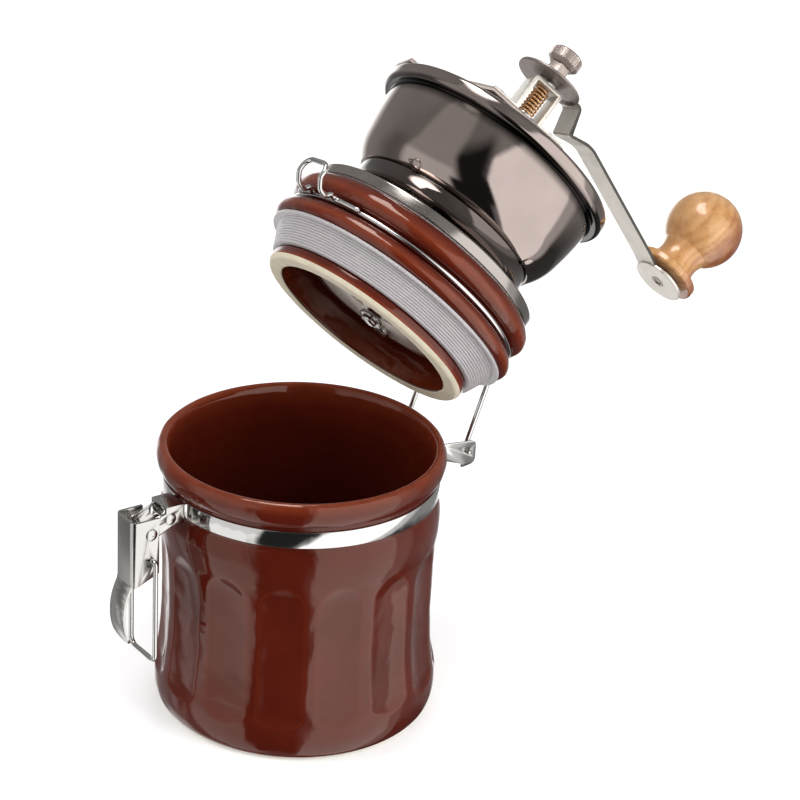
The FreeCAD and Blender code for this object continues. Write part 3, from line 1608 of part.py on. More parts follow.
def make_crank():
    """Dished cap and cranked arm in one pressing, with the nuts that hold it."""
    body = new_body("crank_arm")
    bore = dim.shaft_thin
    under = dim.cap_top - dim.cap_sheet
    cap = sketch_on(body, "XZ_Plane", "cap")
    draw_outline(cap, [
        (bore, under),
        (bore, dim.cap_top),
        (dim.cap_flat, dim.cap_top),
        (dim.cap_radius, dim.cap_low, dim.cap_curve, -1),
        (dim.cap_radius - dim.cap_sheet, dim.cap_low),
        (dim.cap_flat, under, dim.cap_inner_curve, 1),
    ])
    add_turned(body, cap, "cap")
    lower = [
        (dim.arm_root_out, dim.arm_root_level),
        (dim.arm_edge_out, dim.arm_edge_level),
        (dim.arm_dip_out, dim.arm_dip_level),
        (dim.arm_dip_end_out, dim.arm_dip_level),
        (dim.arm_rise_out, dim.arm_rise_level),
        (dim.arm_crest_out, dim.arm_crest_level),
        (dim.arm_slope_out, dim.arm_slope_level),
        (dim.arm_tip_out, dim.arm_tip_level),
    ]
    upper = [(x, z + dim.arm_sheet) for x, z in reversed(lower)]
    arm = sketch_on(body, "XZ_Plane", "arm")
    draw_outline(arm, lower + upper)
    add_pad(body, arm, "arm_sheet", 2 * dim.arm_half, symmetric=True)
    doc.recompute()
    tilt = dim.eye_tilt.value
    eye_place = Placement(
        Vector(dim.eye_out.value, 0, dim.eye_level.value), Rotation(Y_AXIS, tilt)
    ).multiply(Placement(Vector(0, 0, -dim.arm_sheet.value / 2), Rotation()))
    eye = sketch_on(body, "XY_Plane", "eye")
    eye.AttachmentOffset = eye_place
    draw_circle(eye, 0, 0, dim.eye_radius)
    add_pad(body, eye, "eye_sheet", dim.arm_sheet)
    doc.recompute()
    hole = sketch_on(body, "XY_Plane", "eye_hole")
    hole.AttachmentOffset = eye_place.multiply(Placement(Vector(0, 0, -2 * PAST), Rotation()))
    draw_circle(hole, 0, 0, dim.spindle_radius)
    add_pocket(body, hole, "eye_bore", dim.arm_sheet + 4 * PAST, flip=True)
    keep(body, CRANK_PLACE)

    arch_top = dim.arch_top
    keep(washer("thrust_washer", dim.thrust_radius, bore, arch_top + dim.thrust_gap, under), CRANK_PLACE)
    keep(washer("crank_washer", dim.washer_radius, bore, dim.cap_top, dim.collar_low), CRANK_PLACE)
    collar = new_body("crank_collar")
    outline = sketch_on(collar, "XY_Plane", "outline", dim.collar_low)
    draw_outline(outline, hexagon(as_size(0), as_size(0), dim.collar_across))
    draw_circle(outline, 0, 0, bore)
    add_pad(collar, outline, "hexagon", dim.collar_tall)
    keep(collar, CRANK_PLACE)
    low = dim.collar_low + dim.collar_tall
    top = low + dim.thumb_tall
    keep(turned_body("thumb_nut", [
        (0, dim.shaft_top),
        (bore, dim.shaft_top),
        (bore, low),
        (dim.thumb_radius - dim.thumb_chamfer, low),
        (dim.thumb_radius, low + dim.thumb_chamfer),
        (dim.thumb_radius, top - dim.thumb_top_chamfer),
        (dim.thumb_radius - dim.thumb_top_chamfer, top),
        (0, top),
    ]), CRANK_PLACE)


def make_knob():
    """Turned wooden knob, its spindle riveted in the arm's eye, and the washer between."""
    spindle = dim.spindle_radius
    eye_half = dim.arm_sheet / 2
    keep(turned_body("knob_spindle", [
        (0, -eye_half - dim.spindle_head_tall),
        (dim.spindle_head, -eye_half, dome_round(dim.spindle_head, dim.spindle_head_tall), 1),
        (spindle, -eye_half),
        (spindle, eye_half),
        (dim.spindle_collar, eye_half),
        (dim.spindle_collar, dim.spindle_collar_high),
        (spindle, dim.spindle_collar_high),
        (spindle, dim.spindle_top),
        (0, dim.spindle_top),
    ]), KNOB_PLACE)
    keep(washer("knob_washer", dim.knob_washer_radius, spindle, dim.spindle_collar_high,
                dim.knob_washer_high), KNOB_PLACE)
    bore = spindle + dim.running_gap
    round_edge = dim.knob_flange_round
    ball = dim.knob_ball
    neck = dim.knob_neck
    wide_neck = neck + dim.knob_neck_swell
    neck_top = dim.knob_ball_level - root(ball * ball - wide_neck * wide_neck)
    keep(turned_body("knob", [
        (bore, dim.knob_low),
        (dim.knob_flange - round_edge, dim.knob_low),
        (dim.knob_flange, dim.knob_low + round_edge, round_edge, 1),
        (dim.knob_flange, dim.knob_flange_high - round_edge),
        (dim.knob_flange - round_edge, dim.knob_flange_high, round_edge, 1),
        (neck + dim.knob_fillet_out, dim.knob_flange_high + dim.knob_fillet_rise),
        (neck, dim.knob_flange_high + dim.knob_neck_rise, dim.knob_fillet_round, -1),
        (wide_neck, neck_top, dim.knob_neck_round, -1),
        (ball, dim.knob_ball_level, ball, 1),
        (0, dim.knob_ball_level + ball, ball, 1),
        (0, dim.knob_bore_top),
        (bore, dim.knob_bore_top),
    ]), KNOB_PLACE)


make_jar()
make_band()
cross_pin("latch_rivet", dim.rivet_out, dim.rivet_level, dim.rivet_radius, dim.saddle_outer)
make_saddle()
cross_pin("latch_pivot_pin", dim.pivot_out, dim.pivot_level, dim.pivot_radius, dim.lever_outer + 0.1)
make_lever()
make_bail()
make_bracket()
make_lid_body()
make_gasket()
make_lid_wire()
make_lid_hook()
make_outer_burr()
make_inner_burr()
make_carrier()
make_bolts()
make_shaft()
make_hopper()
make_guide()
make_bridge()
make_arch()
make_adjuster()
make_crank()
make_knob()


# Checks and export

doc.recompute()
for item in doc.Objects:
    if "Invalid" in item.State or "Error" in item.State:
        raise RuntimeError(f"{item.Name} failed: {item.State}")
for piece in pieces:
    if piece.Shape.isNull() or not piece.Shape.isValid():
        raise RuntimeError(f"{piece.Label} has no valid shape")
for piece in pieces:
    piece.Shape.exportStep(f"parts/{piece.Label}.step")
    print(f"{piece.Label}: {len(piece.Shape.Solids)} solid(s), {piece.Shape.Volume:.1f} mm3")
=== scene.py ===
"""Looks of a clip-top coffee grinder, built round its packed construction model.

The construction model gives every body's place and motion. This file gives each
piece its finished shape and surface: a glazed jar with upright flutes, an open
lid with its ribbed gasket and wires, a dark mirror-bright hopper, and a crank
with a turned wooden knob. Outlines are in millimetres and meshes in metres.
"""

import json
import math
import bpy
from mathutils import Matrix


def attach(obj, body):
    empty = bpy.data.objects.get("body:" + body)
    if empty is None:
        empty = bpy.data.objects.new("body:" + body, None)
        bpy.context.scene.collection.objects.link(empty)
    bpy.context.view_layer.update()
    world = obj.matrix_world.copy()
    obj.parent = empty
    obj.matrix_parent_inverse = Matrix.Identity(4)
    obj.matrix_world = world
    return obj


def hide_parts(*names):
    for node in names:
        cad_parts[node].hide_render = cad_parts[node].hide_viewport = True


bl_info = {
    "name": "Clip-top Coffee Grinder",
    "version": (1, 0, 0),
    "blender": (4, 5, 0),
    "location": "3D View > Sidebar > Grinder",
    "description": "Builds a coffee grinder with a glazed jar, an open lid and a hand crank",
    "category": "Object",
}

from types import SimpleNamespace

import bmesh
import bpy
from bpy.props import FloatProperty, FloatVectorProperty, IntProperty, PointerProperty
from mathutils import Matrix, Quaternion, Vector

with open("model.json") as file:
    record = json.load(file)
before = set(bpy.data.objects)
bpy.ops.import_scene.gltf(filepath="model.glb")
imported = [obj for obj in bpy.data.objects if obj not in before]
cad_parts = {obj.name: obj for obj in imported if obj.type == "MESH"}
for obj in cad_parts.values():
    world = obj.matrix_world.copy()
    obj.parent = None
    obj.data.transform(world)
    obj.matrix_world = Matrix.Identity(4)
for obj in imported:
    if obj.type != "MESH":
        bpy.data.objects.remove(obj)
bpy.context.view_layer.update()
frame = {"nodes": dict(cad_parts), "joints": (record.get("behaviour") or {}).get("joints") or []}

MM = 0.001

# Sizes in millimetres.  They are the construction model's, apart from the bowl's two curves,
# the crank's flat cap and bent arm, the spindle's ends, and the details listed last.

mm = SimpleNamespace(
    # Jar, from its foot to its mouth bead, then its inside
    foot_radius=46.8,
    foot_inner=42.0,
    foot_disc=33.0,
    foot_recess=1.5,
    heel_radius=51.2,
    heel_level=3.2,
    heel_tuck=0.025,
    bulge_radius=52.1,
    bulge_level=9.0,
    bulge_round=19.1,
    skirt_radius=51.1,
    skirt_level=19.5,
    skirt_round=55.6,
    waist_radius=49.5,
    waist_level=43.0,
    waist_low_round=173.4,
    chest_radius=50.1,
    chest_level=68.0,
    waist_high_round=521.0,
    shoulder_radius=50.8,
    shoulder_level=76.0,
    shoulder_round=46.0,
    collar_round=22.4,
    collar_level=83.8,
    neck_radius=49.4,
    bead_level=98.0,
    bead_middle=49.5,
    bead_half_width=2.5,
    bead_half_height=4.55,
    bead_shoulder_in=1.607,
    bead_shoulder_up=3.485,
    bead_side_round=7.25,
    bead_top_round=1.745,
    jar_bore=45.6,
    jar_throat_top=94.0,
    jar_throat_low=86.0,
    jar_floor=4.5,
    jar_floor_round=8.0,
    # Flutes, each cut by a wheel outside the jar
    flute_count=15,
    flute_axis=95.0,
    flute_depth=1.4,
    flute_high=60.0,
    flute_high_radius=48.38,
    flute_high_round=22.9,
    flute_high_reach=9.8,
    flute_low_radius=49.7,
    flute_low_round=9.0,
    flute_low_reach=7.0,
    flute_turn=0.5,
    # Latch and its wire bail
    latch_turn=-8.0,
    latch_plane=50.0,
    bail_out=14.9,
    bail_level=74.5,
    bail_wire=0.9,
    bail_half=8.4,
    bail_end=4.75,
    bail_long=39.6,
    bail_corner=3.0,
    bail_knee=1.5,
    # Axis at the ends of the lid's wire
    hinge_out=67.0,
    hinge_level=84.7,
    # Lid, with the bores for the burrs and the bolts
    lid_foot=89.0,
    lid_hollow=35.5,
    lid_foot_radius=40.7,
    lid_ring_radius=42.0,
    lid_ring_low=90.8,
    lid_ring_round=4.0,
    lid_ring_high=93.4,
    lid_seat_radius=41.0,
    lid_seat_low=94.0,
    lid_seat_round=1.8,
    lid_seat_high=104.0,
    lid_ledge=48.6,
    lid_low_bead=51.0,
    lid_low_bead_level=107.0,
    lid_low_bead_under=3.08,
    lid_low_bead_over=3.59,
    groove_mouth=48.2,
    groove_low=110.5,
    groove_round=1.8,
    lid_high_bead=50.5,
    lid_high_bead_level=117.7,
    lid_high_bead_under=3.97,
    lid_high_bead_over=5.37,
    lid_top=123.0,
    lid_top_radius=46.0,
    lid_ceiling=101.5,
    burr_bore=19.2,
    bolt_ring=24.0,
    bolt_count=3,
    bolt_radius=2.0,
    # Gasket
    gasket_inner=41.1,
    gasket_web=42.4,
    gasket_low=94.3,
    gasket_flange=49.5,
    gasket_flange_low=102.85,
    gasket_flange_high=103.9,
    fin_first_radius=43.4,
    # Wire ring in the lid's groove, and its legs
    ring_wire=1.0,
    ring_radius=47.5,
    ring_level=112.3,
    ring_corner=3.0,
    leg_half=15.7,
    leg_knee_out=54.4,
    leg_knee_level=110.0,
    leg_start_out=51.2,
    leg_end_half=19.2,
    leg_bend=2.6,
    leg_foot_bend=1.6,
    # Hook loop at the lid's front
    hook_wire=0.95,
    hook_ring_radius=49.5,
    hook_half=6.2,
    hook_corner=2.4,
    hook_overlap=11.0,
    hook_start_out=52.1,
    hook_dip_out=53.4,
    hook_dip_level=110.4,
    hook_turn_out=57.2,
    hook_turn_level=110.6,
    hook_rise_out=60.0,
    hook_rise_level=113.6,
    hook_top_out=60.2,
    hook_top_level=119.0,
    hook_bend_start=1.2,
    hook_bend_dip=1.5,
    hook_bend_rise=2.6,
    hook_bend_top=3.6,
    # Burr carrier, shaft and bolts
    carrier_thick=1.9,
    shaft_thin=2.0,
    shaft_top=217.6,
    bolt_head_radius=3.7,
    bolt_head_tall=2.1,
    bolt_head_round=1.0,
    bolt_top=129.2,
    # Hopper base
    seal_thick=0.6,
    seal_inner=20.0,
    flange_radius=46.5,
    flange_high=127.0,
    flange_round=0.8,
    base_sheet=1.2,
    base_neck_radius=36.2,
    base_neck_low=137.6,
    base_neck_high=139.0,
    base_curve=10.4,
    base_inner_curve=11.7,
    base_lip_in=1.6,
    base_lip_drop=0.5,
    # Hopper bowl and its rolled rim
    bowl_collar=34.9,
    bowl_collar_low=136.2,
    bowl_foot=139.1,
    bowl_foot_radius=37.0,
    bowl_sheet=1.1,
    bowl_mid_radius=42.2,
    bowl_mid_level=149.0,
    bowl_low_curve=20.5,
    bowl_high_radius=44.2,
    bowl_high_level=165.0,
    bowl_high_curve=97.3,
    rim_low=168.0,
    rim_top=174.0,
    rim_radius=48.0,
    rim_round=1.9,
    rim_inner=43.0,
    # Bridge, arch and spring
    bridge_turn=57.0,
    bridge_top=188.0,
    arch_sheet=1.5,
    arch_top=203.6,
    arch_screw_count=2,
    arch_screw_out=12.2,
    arch_screw_radius=1.5,
    arch_screw_head=3.1,
    arch_screw_dome=1.9,
    arch_screw_low=181.6,
    upper_bush_flange_tall=1.1,
    seat_thick=1.0,
    spring_radius=2.82,
    spring_wire=0.42,
    # Crank's direction, then its collar and thumb nut
    crank_turn=72.0,
    collar_low=207.3,
    collar_tall=6.1,
    thumb_radius=6.4,
    thumb_tall=5.9,
    thumb_chamfer=1.4,
    thumb_top_chamfer=0.6,
    # Crank's cap, arm and eye
    cap_radius=13.3,
    cap_top=206.7,
    cap_sheet=1.1,
    cap_bend=1.5,
    arm_half=5.3,
    arm_dip_out=17.2,
    arm_dip_level=195.6,
    arm_dip_end_out=18.9,
    arm_dip_bend=0.8,
    arm_rise_out=26.4,
    arm_rise_level=197.9,
    arm_crest_out=30.0,
    arm_crest_level=198.0,
    arm_slope_out=78.0,
    arm_slope_level=186.8,
    arm_tip_out=83.2,
    arm_tip_level=185.0,
    arm_bend=8.0,
    eye_radius=10.3,
    eye_out=90.7,
    eye_level=184.7,
    eye_tilt=6.5,
    arm_sheet=1.2,
    # Knob's spindle
    spindle_radius=2.5,
    spindle_collar=4.6,
    spindle_collar_high=1.5,
    spindle_top=34.4,
    # Knob
    running_gap=0.06,
    knob_low=2.5,
    knob_flange=13.0,
    knob_flange_high=6.0,
    knob_flange_round=1.0,
    knob_neck=9.0,
    knob_neck_round=10.0,
    knob_neck_swell=0.4,
    knob_neck_rise=2.2,
    knob_fillet_round=3.2,
    knob_fillet_out=0.9,
    knob_fillet_rise=0.3,
    knob_ball=15.0,
    knob_ball_level=27.9,
    knob_bore_top=35.0,
    # Details that only this file draws: bowl rivets, gasket ribs, spindle socket
    rivet_head=2.3,
    rivet_head_tall=0.45,
    rivet_step=0.25,
    rivet_turn=12.0,
    rib_depth=0.5,
    socket_inner=1.9,
    socket_outer=2.7,
    socket_proud=0.12,
    socket_floor=0.3,
    # How far past the bore the jar's outer side begins, and how far above the foot's recess
    # the clay is bare
    outer_side=1.0,
    bare_margin=0.2,
)

# How thin the glaze lies, which on the beads' crests also stands for a painted highlight, and how
# much painted shade lies in the jar and the lid's hollow, from 0 to 1, and the millimetres over
# which they change

glaze = SimpleNamespace(
    rim_thin_and_highlight=0.55,
    rim_run=3.0,
    rim_past=0.8,
    throat_thin=0.25,
    inner_shade_run=20.0,
    foot_thin=0.5,
    flute_thin=0.12,
    low_bead_run=2.6,
    high_bead_run=3.6,
    bead_thin_and_highlight=0.6,
    groove_gap=0.6,
    ring_run=1.2,
    ring_thin=0.7,
    bare_gap=0.3,
    hollow_gap=0.4,
    hollow_shade=0.6,
)

# A gasket rib: shares of its pitch at which it starts, peaks, runs back and ends, the share of
# its depth at its end, and how far its back leans out and all ribs stop short of the flange

rib = SimpleNamespace(
    start=0.10,
    peak=0.35,
    back=0.92,
    end=0.98,
    end_depth=0.8,
    lean=0.1,
    short=2.2,
)

# Painted shade in the fold under the bowl's rim: where it starts, fills up, fades and ends,
# measured from the rim's underside

fold = SimpleNamespace(start_below=4.0, full_below=1.0, fade_below=0.2, end_above=1.6)

# A ridge of the thumb nut: shares of its pitch and of the two chamfers, then millimetres

knurl = SimpleNamespace(
    width=0.8,
    low_chamfer=0.8,
    top_chamfer=0.7,
    end=0.5,
    root=0.25,
    crest_half=0.12,
)

# Millimetres that a flute's line goes outwards for each one past its end, and the share of the
# wheel's distance that is well outside the wall

FLUTE_LEAVES = 2
FAR_OUT = 2 / 3

# The upright part of its normal, below which a face of the foot is the jar's underside

LOOKS_DOWN = -0.7

# How much wider than the rest the edges of the lever and the collar are broken

SOFT_EDGES = 2

# The flange is bright up to this many radii of its rounding, and the crank's strip reaches
# this many sheets under the cap

FLANGE_BRIGHT = 1.5
STRIP_UNDER_CAP = 3

# Joints give the hinge and how far the lid is open at rest

joints = {joint["name"]: joint for joint in frame["joints"]}
hinge_point = Vector(joints["lid_hinge"]["pos_m"])
lid_open = math.radians(joints["lid_hinge"]["range_deg"][1])


def turned(degrees, axis="Z"):
    """A turn about an axis through the origin."""
    return Matrix.Rotation(math.radians(degrees), 4, axis)


def shifted(out, level):
    """A move outwards and up by millimetres."""
    return Matrix.Translation(Vector((out, 0, level)) * MM)


UPRIGHT = Matrix.Identity(4)
LATCH = turned(mm.latch_turn)
LID = (
    Matrix.Translation(hinge_point)
    @ Matrix.Rotation(-lid_open, 4, "X")
    @ Matrix.Translation(-hinge_point)
)
HOOK = LID @ LATCH
BRIDGE = LID @ turned(mm.bridge_turn)
CRANK = LID @ turned(mm.crank_turn)
EYE = shifted(mm.eye_out, mm.eye_level) @ turned(mm.eye_tilt, "Y")
KNOB = CRANK @ EYE


# Colour and node helpers

def linear(code):
    """An sRGB hex colour as linear red, green and blue."""
    values = [int(code[place:place + 2], 16) / 255 for place in (1, 3, 5)]
    return [v / 12.92 if v <= 0.04045 else ((v + 0.055) / 1.055) ** 2.4 for v in values]


def per_metre(size):
    """Texture scale for a pattern whose features are this many millimetres across."""
    return 1 / (size * MM)


def add(tree, kind, links=None, **choices):
    """Adds a node, with its choices, and with a value, a node or a socket for each input."""
    node = tree.nodes.new(kind)
    for name, value in choices.items():
        setattr(node, name, value)
    for socket, source in (links or {}).items():
        if isinstance(source, bpy.types.Node):
            source = next(output for output in source.outputs if output.enabled)
        if isinstance(source, bpy.types.NodeSocket):
            tree.links.new(source, node.inputs[socket])
        else:
            node.inputs[socket].default_value = source
    return node


def chain(tree, known, kind, steps):
    """Adds nodes that feed each other: a step names its result, its operation and its inputs."""
    for result, operation, *inputs in steps:
        links = {place: known.get(item, item) for place, item in enumerate(inputs)}
        known[result] = add(tree, kind, links, operation=operation)


# Outlines

ARC_STEP = 0.9
ARC_TURN = math.radians(9)
SHARP = math.radians(18)
# How much of the side next to a corner its rounding may take, and how many roundings away a
# further point holds that side straight
CORNER_SHARE = 0.3
HOLD_SHARE = 1.5
WIRE_SIDES = 16
COIL_STEPS = 28
BEND_STEPS = 8
RING_STEPS = 48
TAIL_STEPS = 6
# A wire's cut end: the length of its rounding and the size of its face, as shares of the radius
END_ROUND = 0.35
END_FACE = 0.7
WIRE_SHARP = math.radians(50)
# Edges of sheet metal that are broken, seams of a copy that are flat enough to dissolve, and
# how close two points are, in metres, where they are taken as one
BREAK_ANGLE = math.radians(32)
FLAT_ANGLE = math.radians(0.5)
NODE_GAP = 2e-6
JOIN_GAP = 1e-7


def arc_points(first, second, radius, turn):
    """Points along the short arc between two corners; turn is +1 anticlockwise."""
    chord = second - first
    half = chord.length / 2
    rise = math.sqrt(max(radius * radius - half * half, 0))
    centre = (first + second) / 2 + Vector((-chord.y, chord.x)).normalized() * rise * turn
    start = math.atan2(first.y - centre.y, first.x - centre.x)
    sweep = turn * 2 * math.asin(min(half / radius, 1))
    steps = max(2, math.ceil(abs(sweep) * radius / ARC_STEP), math.ceil(abs(sweep) / ARC_TURN))
    angles = [start + sweep * step / steps for step in range(1, steps + 1)]
    return [centre + radius * Vector((math.cos(angle), math.sin(angle))) for angle in angles]


def eased(points, soft):
    """The same closed outline with each sharp corner rounded, and held by a point beside it."""
    result = []
    count = len(points)
    for number, here in enumerate(points):
        back = points[number - 1] - here
        ahead = points[(number + 1) % count] - here
        if here.x < MM or back.angle(-ahead, 0) < SHARP:
            result.append(here)
            continue
        before = min(soft, CORNER_SHARE * back.length)
        after = min(soft, CORNER_SHARE * ahead.length)
        start = here + back.normalized() * before
        end = here + ahead.normalized() * after
        result += [
            here + back.normalized() * before * HOLD_SHARE,
            start,
            (start + 2 * here + end) / 4,
            end,
            here + ahead.normalized() * after * HOLD_SHARE,
        ]
    return result


def outline(corners, soft=0.3):
    """A closed outline of (radius, level) corners, or (radius, level, round, turn) for an arc
    that arrives there."""
    points = []
    previous = Vector(corners[-1][:2])
    for corner in corners:
        here = Vector(corner[:2])
        points += arc_points(previous, here, *corner[2:]) if len(corner) > 2 else [here]
        previous = here
    return eased(points, soft)


def dome_radius(reach, rise):
    """Radius of the arc that rises this far over this reach."""
    return (reach ** 2 + rise ** 2) / (2 * rise)


# Mesh helpers

def piece_from(name, mesh):
    """A new object at the origin, with its place in its mesh."""
    piece = bpy.data.objects.new(name, mesh)
    bpy.context.scene.collection.objects.link(piece)
    return piece


def solid(name, vertices, faces):
    """A new closed piece: doubled points joined, closed up faces dropped and the rest turned
    outwards."""
    mesh = bpy.data.meshes.new(name)
    mesh.from_pydata(vertices, [], faces)
    work = bmesh.new()
    work.from_mesh(mesh)
    bmesh.ops.remove_doubles(work, verts=work.verts, dist=JOIN_GAP)
    bmesh.ops.dissolve_degenerate(work, edges=work.edges, dist=JOIN_GAP)
    bmesh.ops.recalc_face_normals(work, faces=work.faces)
    work.to_mesh(mesh)
    work.free()
    mesh.shade_smooth()
    return piece_from(name, mesh)


def through_rings(name, vertices, sides):
    """A closed piece through equal rings of points in metres, with its two ends filled."""
    faces = [tuple(range(sides)), tuple(range(len(vertices) - sides, len(vertices)))]
    for low in range(0, len(vertices) - sides, sides):
        for number in range(sides):
            beside = (number + 1) % sides
            faces.append((low + number, low + beside, low + sides + beside, low + sides + number))
    return solid(name, vertices, faces)


def lathe(name, points, columns):
    """A closed outline turned round the Z axis, in its drawing place."""
    rows = len(points)
    vertices = []
    for column in range(columns):
        angle = 2 * math.pi * column / columns
        across, along = math.cos(angle) * MM, math.sin(angle) * MM
        vertices += [(point.x * across, point.x * along, point.y * MM) for point in points]
    faces = []
    for column in range(columns):
        here, beside = column * rows, (column + 1) % columns * rows
        for row in range(rows):
            below = (row + 1) % rows
            if max(points[row].x, points[below].x) > MM:
                faces.append((here + row, beside + row, beside + below, here + below))
    return solid(name, vertices, faces)


def flat_ring(name, inner, outer, low, high, soft, columns):
    """A flat ring between two radii and two levels."""
    corners = [(inner, low), (outer, low), (outer, high), (inner, high)]
    return lathe(name, outline(corners, soft), columns)


def rounded_path(points, radii):
    """A path with a round bend at each inner corner, as closely spaced points."""
    path = [points[0]]
    for before, corner, after, radius in zip(points, points[1:], points[2:], radii):
        incoming = (corner - before).normalized()
        outgoing = (after - corner).normalized()
        bend = incoming.angle(outgoing)
        reach = radius * math.tan(bend / 2)
        axis = incoming.cross(outgoing).normalized()
        start = corner - incoming * reach
        centre = start + axis.cross(incoming) * radius
        steps = max(3, math.ceil(bend / ARC_TURN))
        for step in range(steps + 1):
            path.append(centre + Quaternion(axis, bend * step / steps) @ (start - centre))
    return path + [points[-1]]


def mirrored(points):
    """The other half of a wire, from its middle back to its far end."""
    return [Vector((-point.x, point.y, point.z)) for point in reversed(points)]


def tube(name, path, radius, sides=WIRE_SIDES):
    """A round wire along a path, with softly rounded cut ends."""
    first, last = (path[1] - path[0]).normalized(), (path[-1] - path[-2]).normalized()
    end_round = END_ROUND * radius
    stations = [(path[0], END_FACE), (path[0] + first * end_round, 1)]
    stations += [(point, 1) for point in path[1:-1]]
    stations += [(path[-1] - last * end_round, 1), (path[-1], END_FACE)]
    ways = [first, first]
    for before, here, after in zip(path, path[1:], path[2:]):
        ways.append(((here - before).normalized() + (after - here).normalized()).normalized())
    ways += [last, last]
    side = first.orthogonal().normalized()
    vertices = []
    previous = first
    for (point, share), way in zip(stations, ways):
        side = previous.rotation_difference(way) @ side
        side = (side - way * side.dot(way)).normalized()
        previous = way
        other = way.cross(side)
        for number in range(sides):
            angle = 2 * math.pi * number / sides
            rim = side * math.cos(angle) + other * math.sin(angle)
            vertices.append((point + rim * radius * share) * MM)
    piece = through_rings(name, vertices, sides)
    piece.data.set_sharp_from_angle(angle=WIRE_SHARP)
    return piece


def baked(piece):
    """Turns a piece's modifiers into plain mesh and takes them off."""
    graph = bpy.context.evaluated_depsgraph_get()
    mesh = bpy.data.meshes.new_from_object(
        piece.evaluated_get(graph), preserve_all_data_layers=True, depsgraph=graph
    )
    piece.modifiers.clear()
    piece.data = mesh
    return piece


def strip(name, line, half, sheet, plated, sheared):
    """Sheet metal bent along a line in the XZ plane, with its thickness on the upper side, and
    with a material for its plated faces and one for its sheared edges."""
    upper = []
    for number, here in enumerate(line):
        ahead = line[min(number + 1, len(line) - 1)] - line[max(number - 1, 0)]
        upper.append(here + Vector((-ahead.z, 0, ahead.x)).normalized() * sheet)
    section = line + upper[::-1]
    vertices = [(point + Vector((0, side, 0))) * MM for side in (-half, half) for point in section]
    piece = through_rings(name, vertices, len(section))
    piece.data.materials.append(plated)
    piece.data.materials.append(sheared)
    for face in piece.data.polygons:
        face.material_index = 1 if len(face.vertices) == len(section) else 0
    return piece


def eased_edges(piece, share=1):
    """Breaks the sharp edges of a piece, by a share of the width that is set."""
    bevel = piece.modifiers.new("broken_edges", "BEVEL")
    bevel.width = settings()[0].edge_break * share
    bevel.segments = 2
    bevel.limit_method = "ANGLE"
    bevel.angle_limit = BREAK_ANGLE
    bevel.use_clamp_overlap = True
    bevel.harden_normals = True
    return baked(piece)


def placed(piece, place):
    """Moves the mesh, not the object, to its place."""
    piece.data.transform(place)
    return piece


def joined(first, second):
    """Adds the second piece's mesh and materials to the first and removes the second."""
    shift = len(first.data.materials)
    for material in second.data.materials:
        first.data.materials.append(material)
    for face in second.data.polygons:
        face.material_index += shift
    work = bmesh.new()
    work.from_mesh(first.data)
    work.from_mesh(second.data)
    work.to_mesh(first.data)
    work.free()
    bpy.data.objects.remove(second)
    return first


def finished(piece, body, slot, material, *nodes):
    """Gives a piece its material and its body, and hides the nodes that it stands for."""
    if material and not piece.data.materials:
        piece.data.materials.append(material)
    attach(piece, body)
    if nodes:
        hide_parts(*nodes)
    return piece


def eased_node(node, body, slot, material, name=None, share=1):
    """Shows a copy of a construction node in its place, with its edges broken, so that they
    catch the light."""
    mesh = frame["nodes"][node].data.copy()
    mesh.materials.clear()
    work = bmesh.new()
    work.from_mesh(mesh)
    bmesh.ops.remove_doubles(work, verts=work.verts, dist=NODE_GAP)
    bmesh.ops.dissolve_limit(work, angle_limit=FLAT_ANGLE, verts=work.verts, edges=work.edges)
    work.to_mesh(mesh)
    work.free()
    mesh.shade_smooth()
    piece = piece_from(name or f"{node}_finish", mesh)
    return finished(eased_edges(piece, share), body, slot, material, node)


def carried(node, material):
    """A construction node that is shown as it is, with its own material."""
    shown = frame["nodes"][node]
    shown.data.materials.clear()
    shown.data.materials.append(material)


def mark(piece, name, value_at):
    """Stores a number at each point of the mesh, worked out from where it is in the drawing."""
    layer = piece.data.attributes.new(name, "FLOAT", "POINT")
    for vertex, entry in zip(piece.data.vertices, layer.data):
        across = math.hypot(vertex.co.x, vertex.co.y) / MM
        entry.value = value_at(across, vertex.co.z / MM)


def between(value, low, high):
    """How far a value has come from low to high, kept within 0 and 1."""
    return min(max((value - low) / (high - low), 0), 1)


# Geometry Nodes: each tree takes its sizes as named inputs

MATH = "ShaderNodeMath"


def start_tree(name, inputs):
    """A new tree with a geometry input and output and the named inputs."""
    tree = bpy.data.node_groups.new(name, "GeometryNodeTree")
    tree.interface.new_socket("Geometry", in_out="INPUT", socket_type="NodeSocketGeometry")
    for label, kind in inputs.items():
        tree.interface.new_socket(label, in_out="INPUT", socket_type=kind)
    tree.interface.new_socket("Geometry", in_out="OUTPUT", socket_type="NodeSocketGeometry")
    return tree, add(tree, "NodeGroupInput").outputs


def end_tree(tree, geometry, material):
    """Makes instances real, sets the material and ends the tree."""
    real = add(tree, "GeometryNodeRealizeInstances", {"Geometry": geometry})
    painted = add(tree, "GeometryNodeSetMaterial", {"Geometry": real, "Material": material})
    add(tree, "NodeGroupOutput", {"Geometry": painted})


def grown(piece, tree, **values):
    """Runs a tree on a piece, with its inputs found by name, and keeps the plain mesh."""
    modifier = piece.modifiers.new(tree.name, "NODES")
    modifier.node_group = tree
    for item in tree.interface.items_tree:
        key = item.name.lower().replace(" ", "_")
        if item.in_out == "INPUT" and key in values:
            modifier[item.identifier] = values[key]
    return baked(piece)


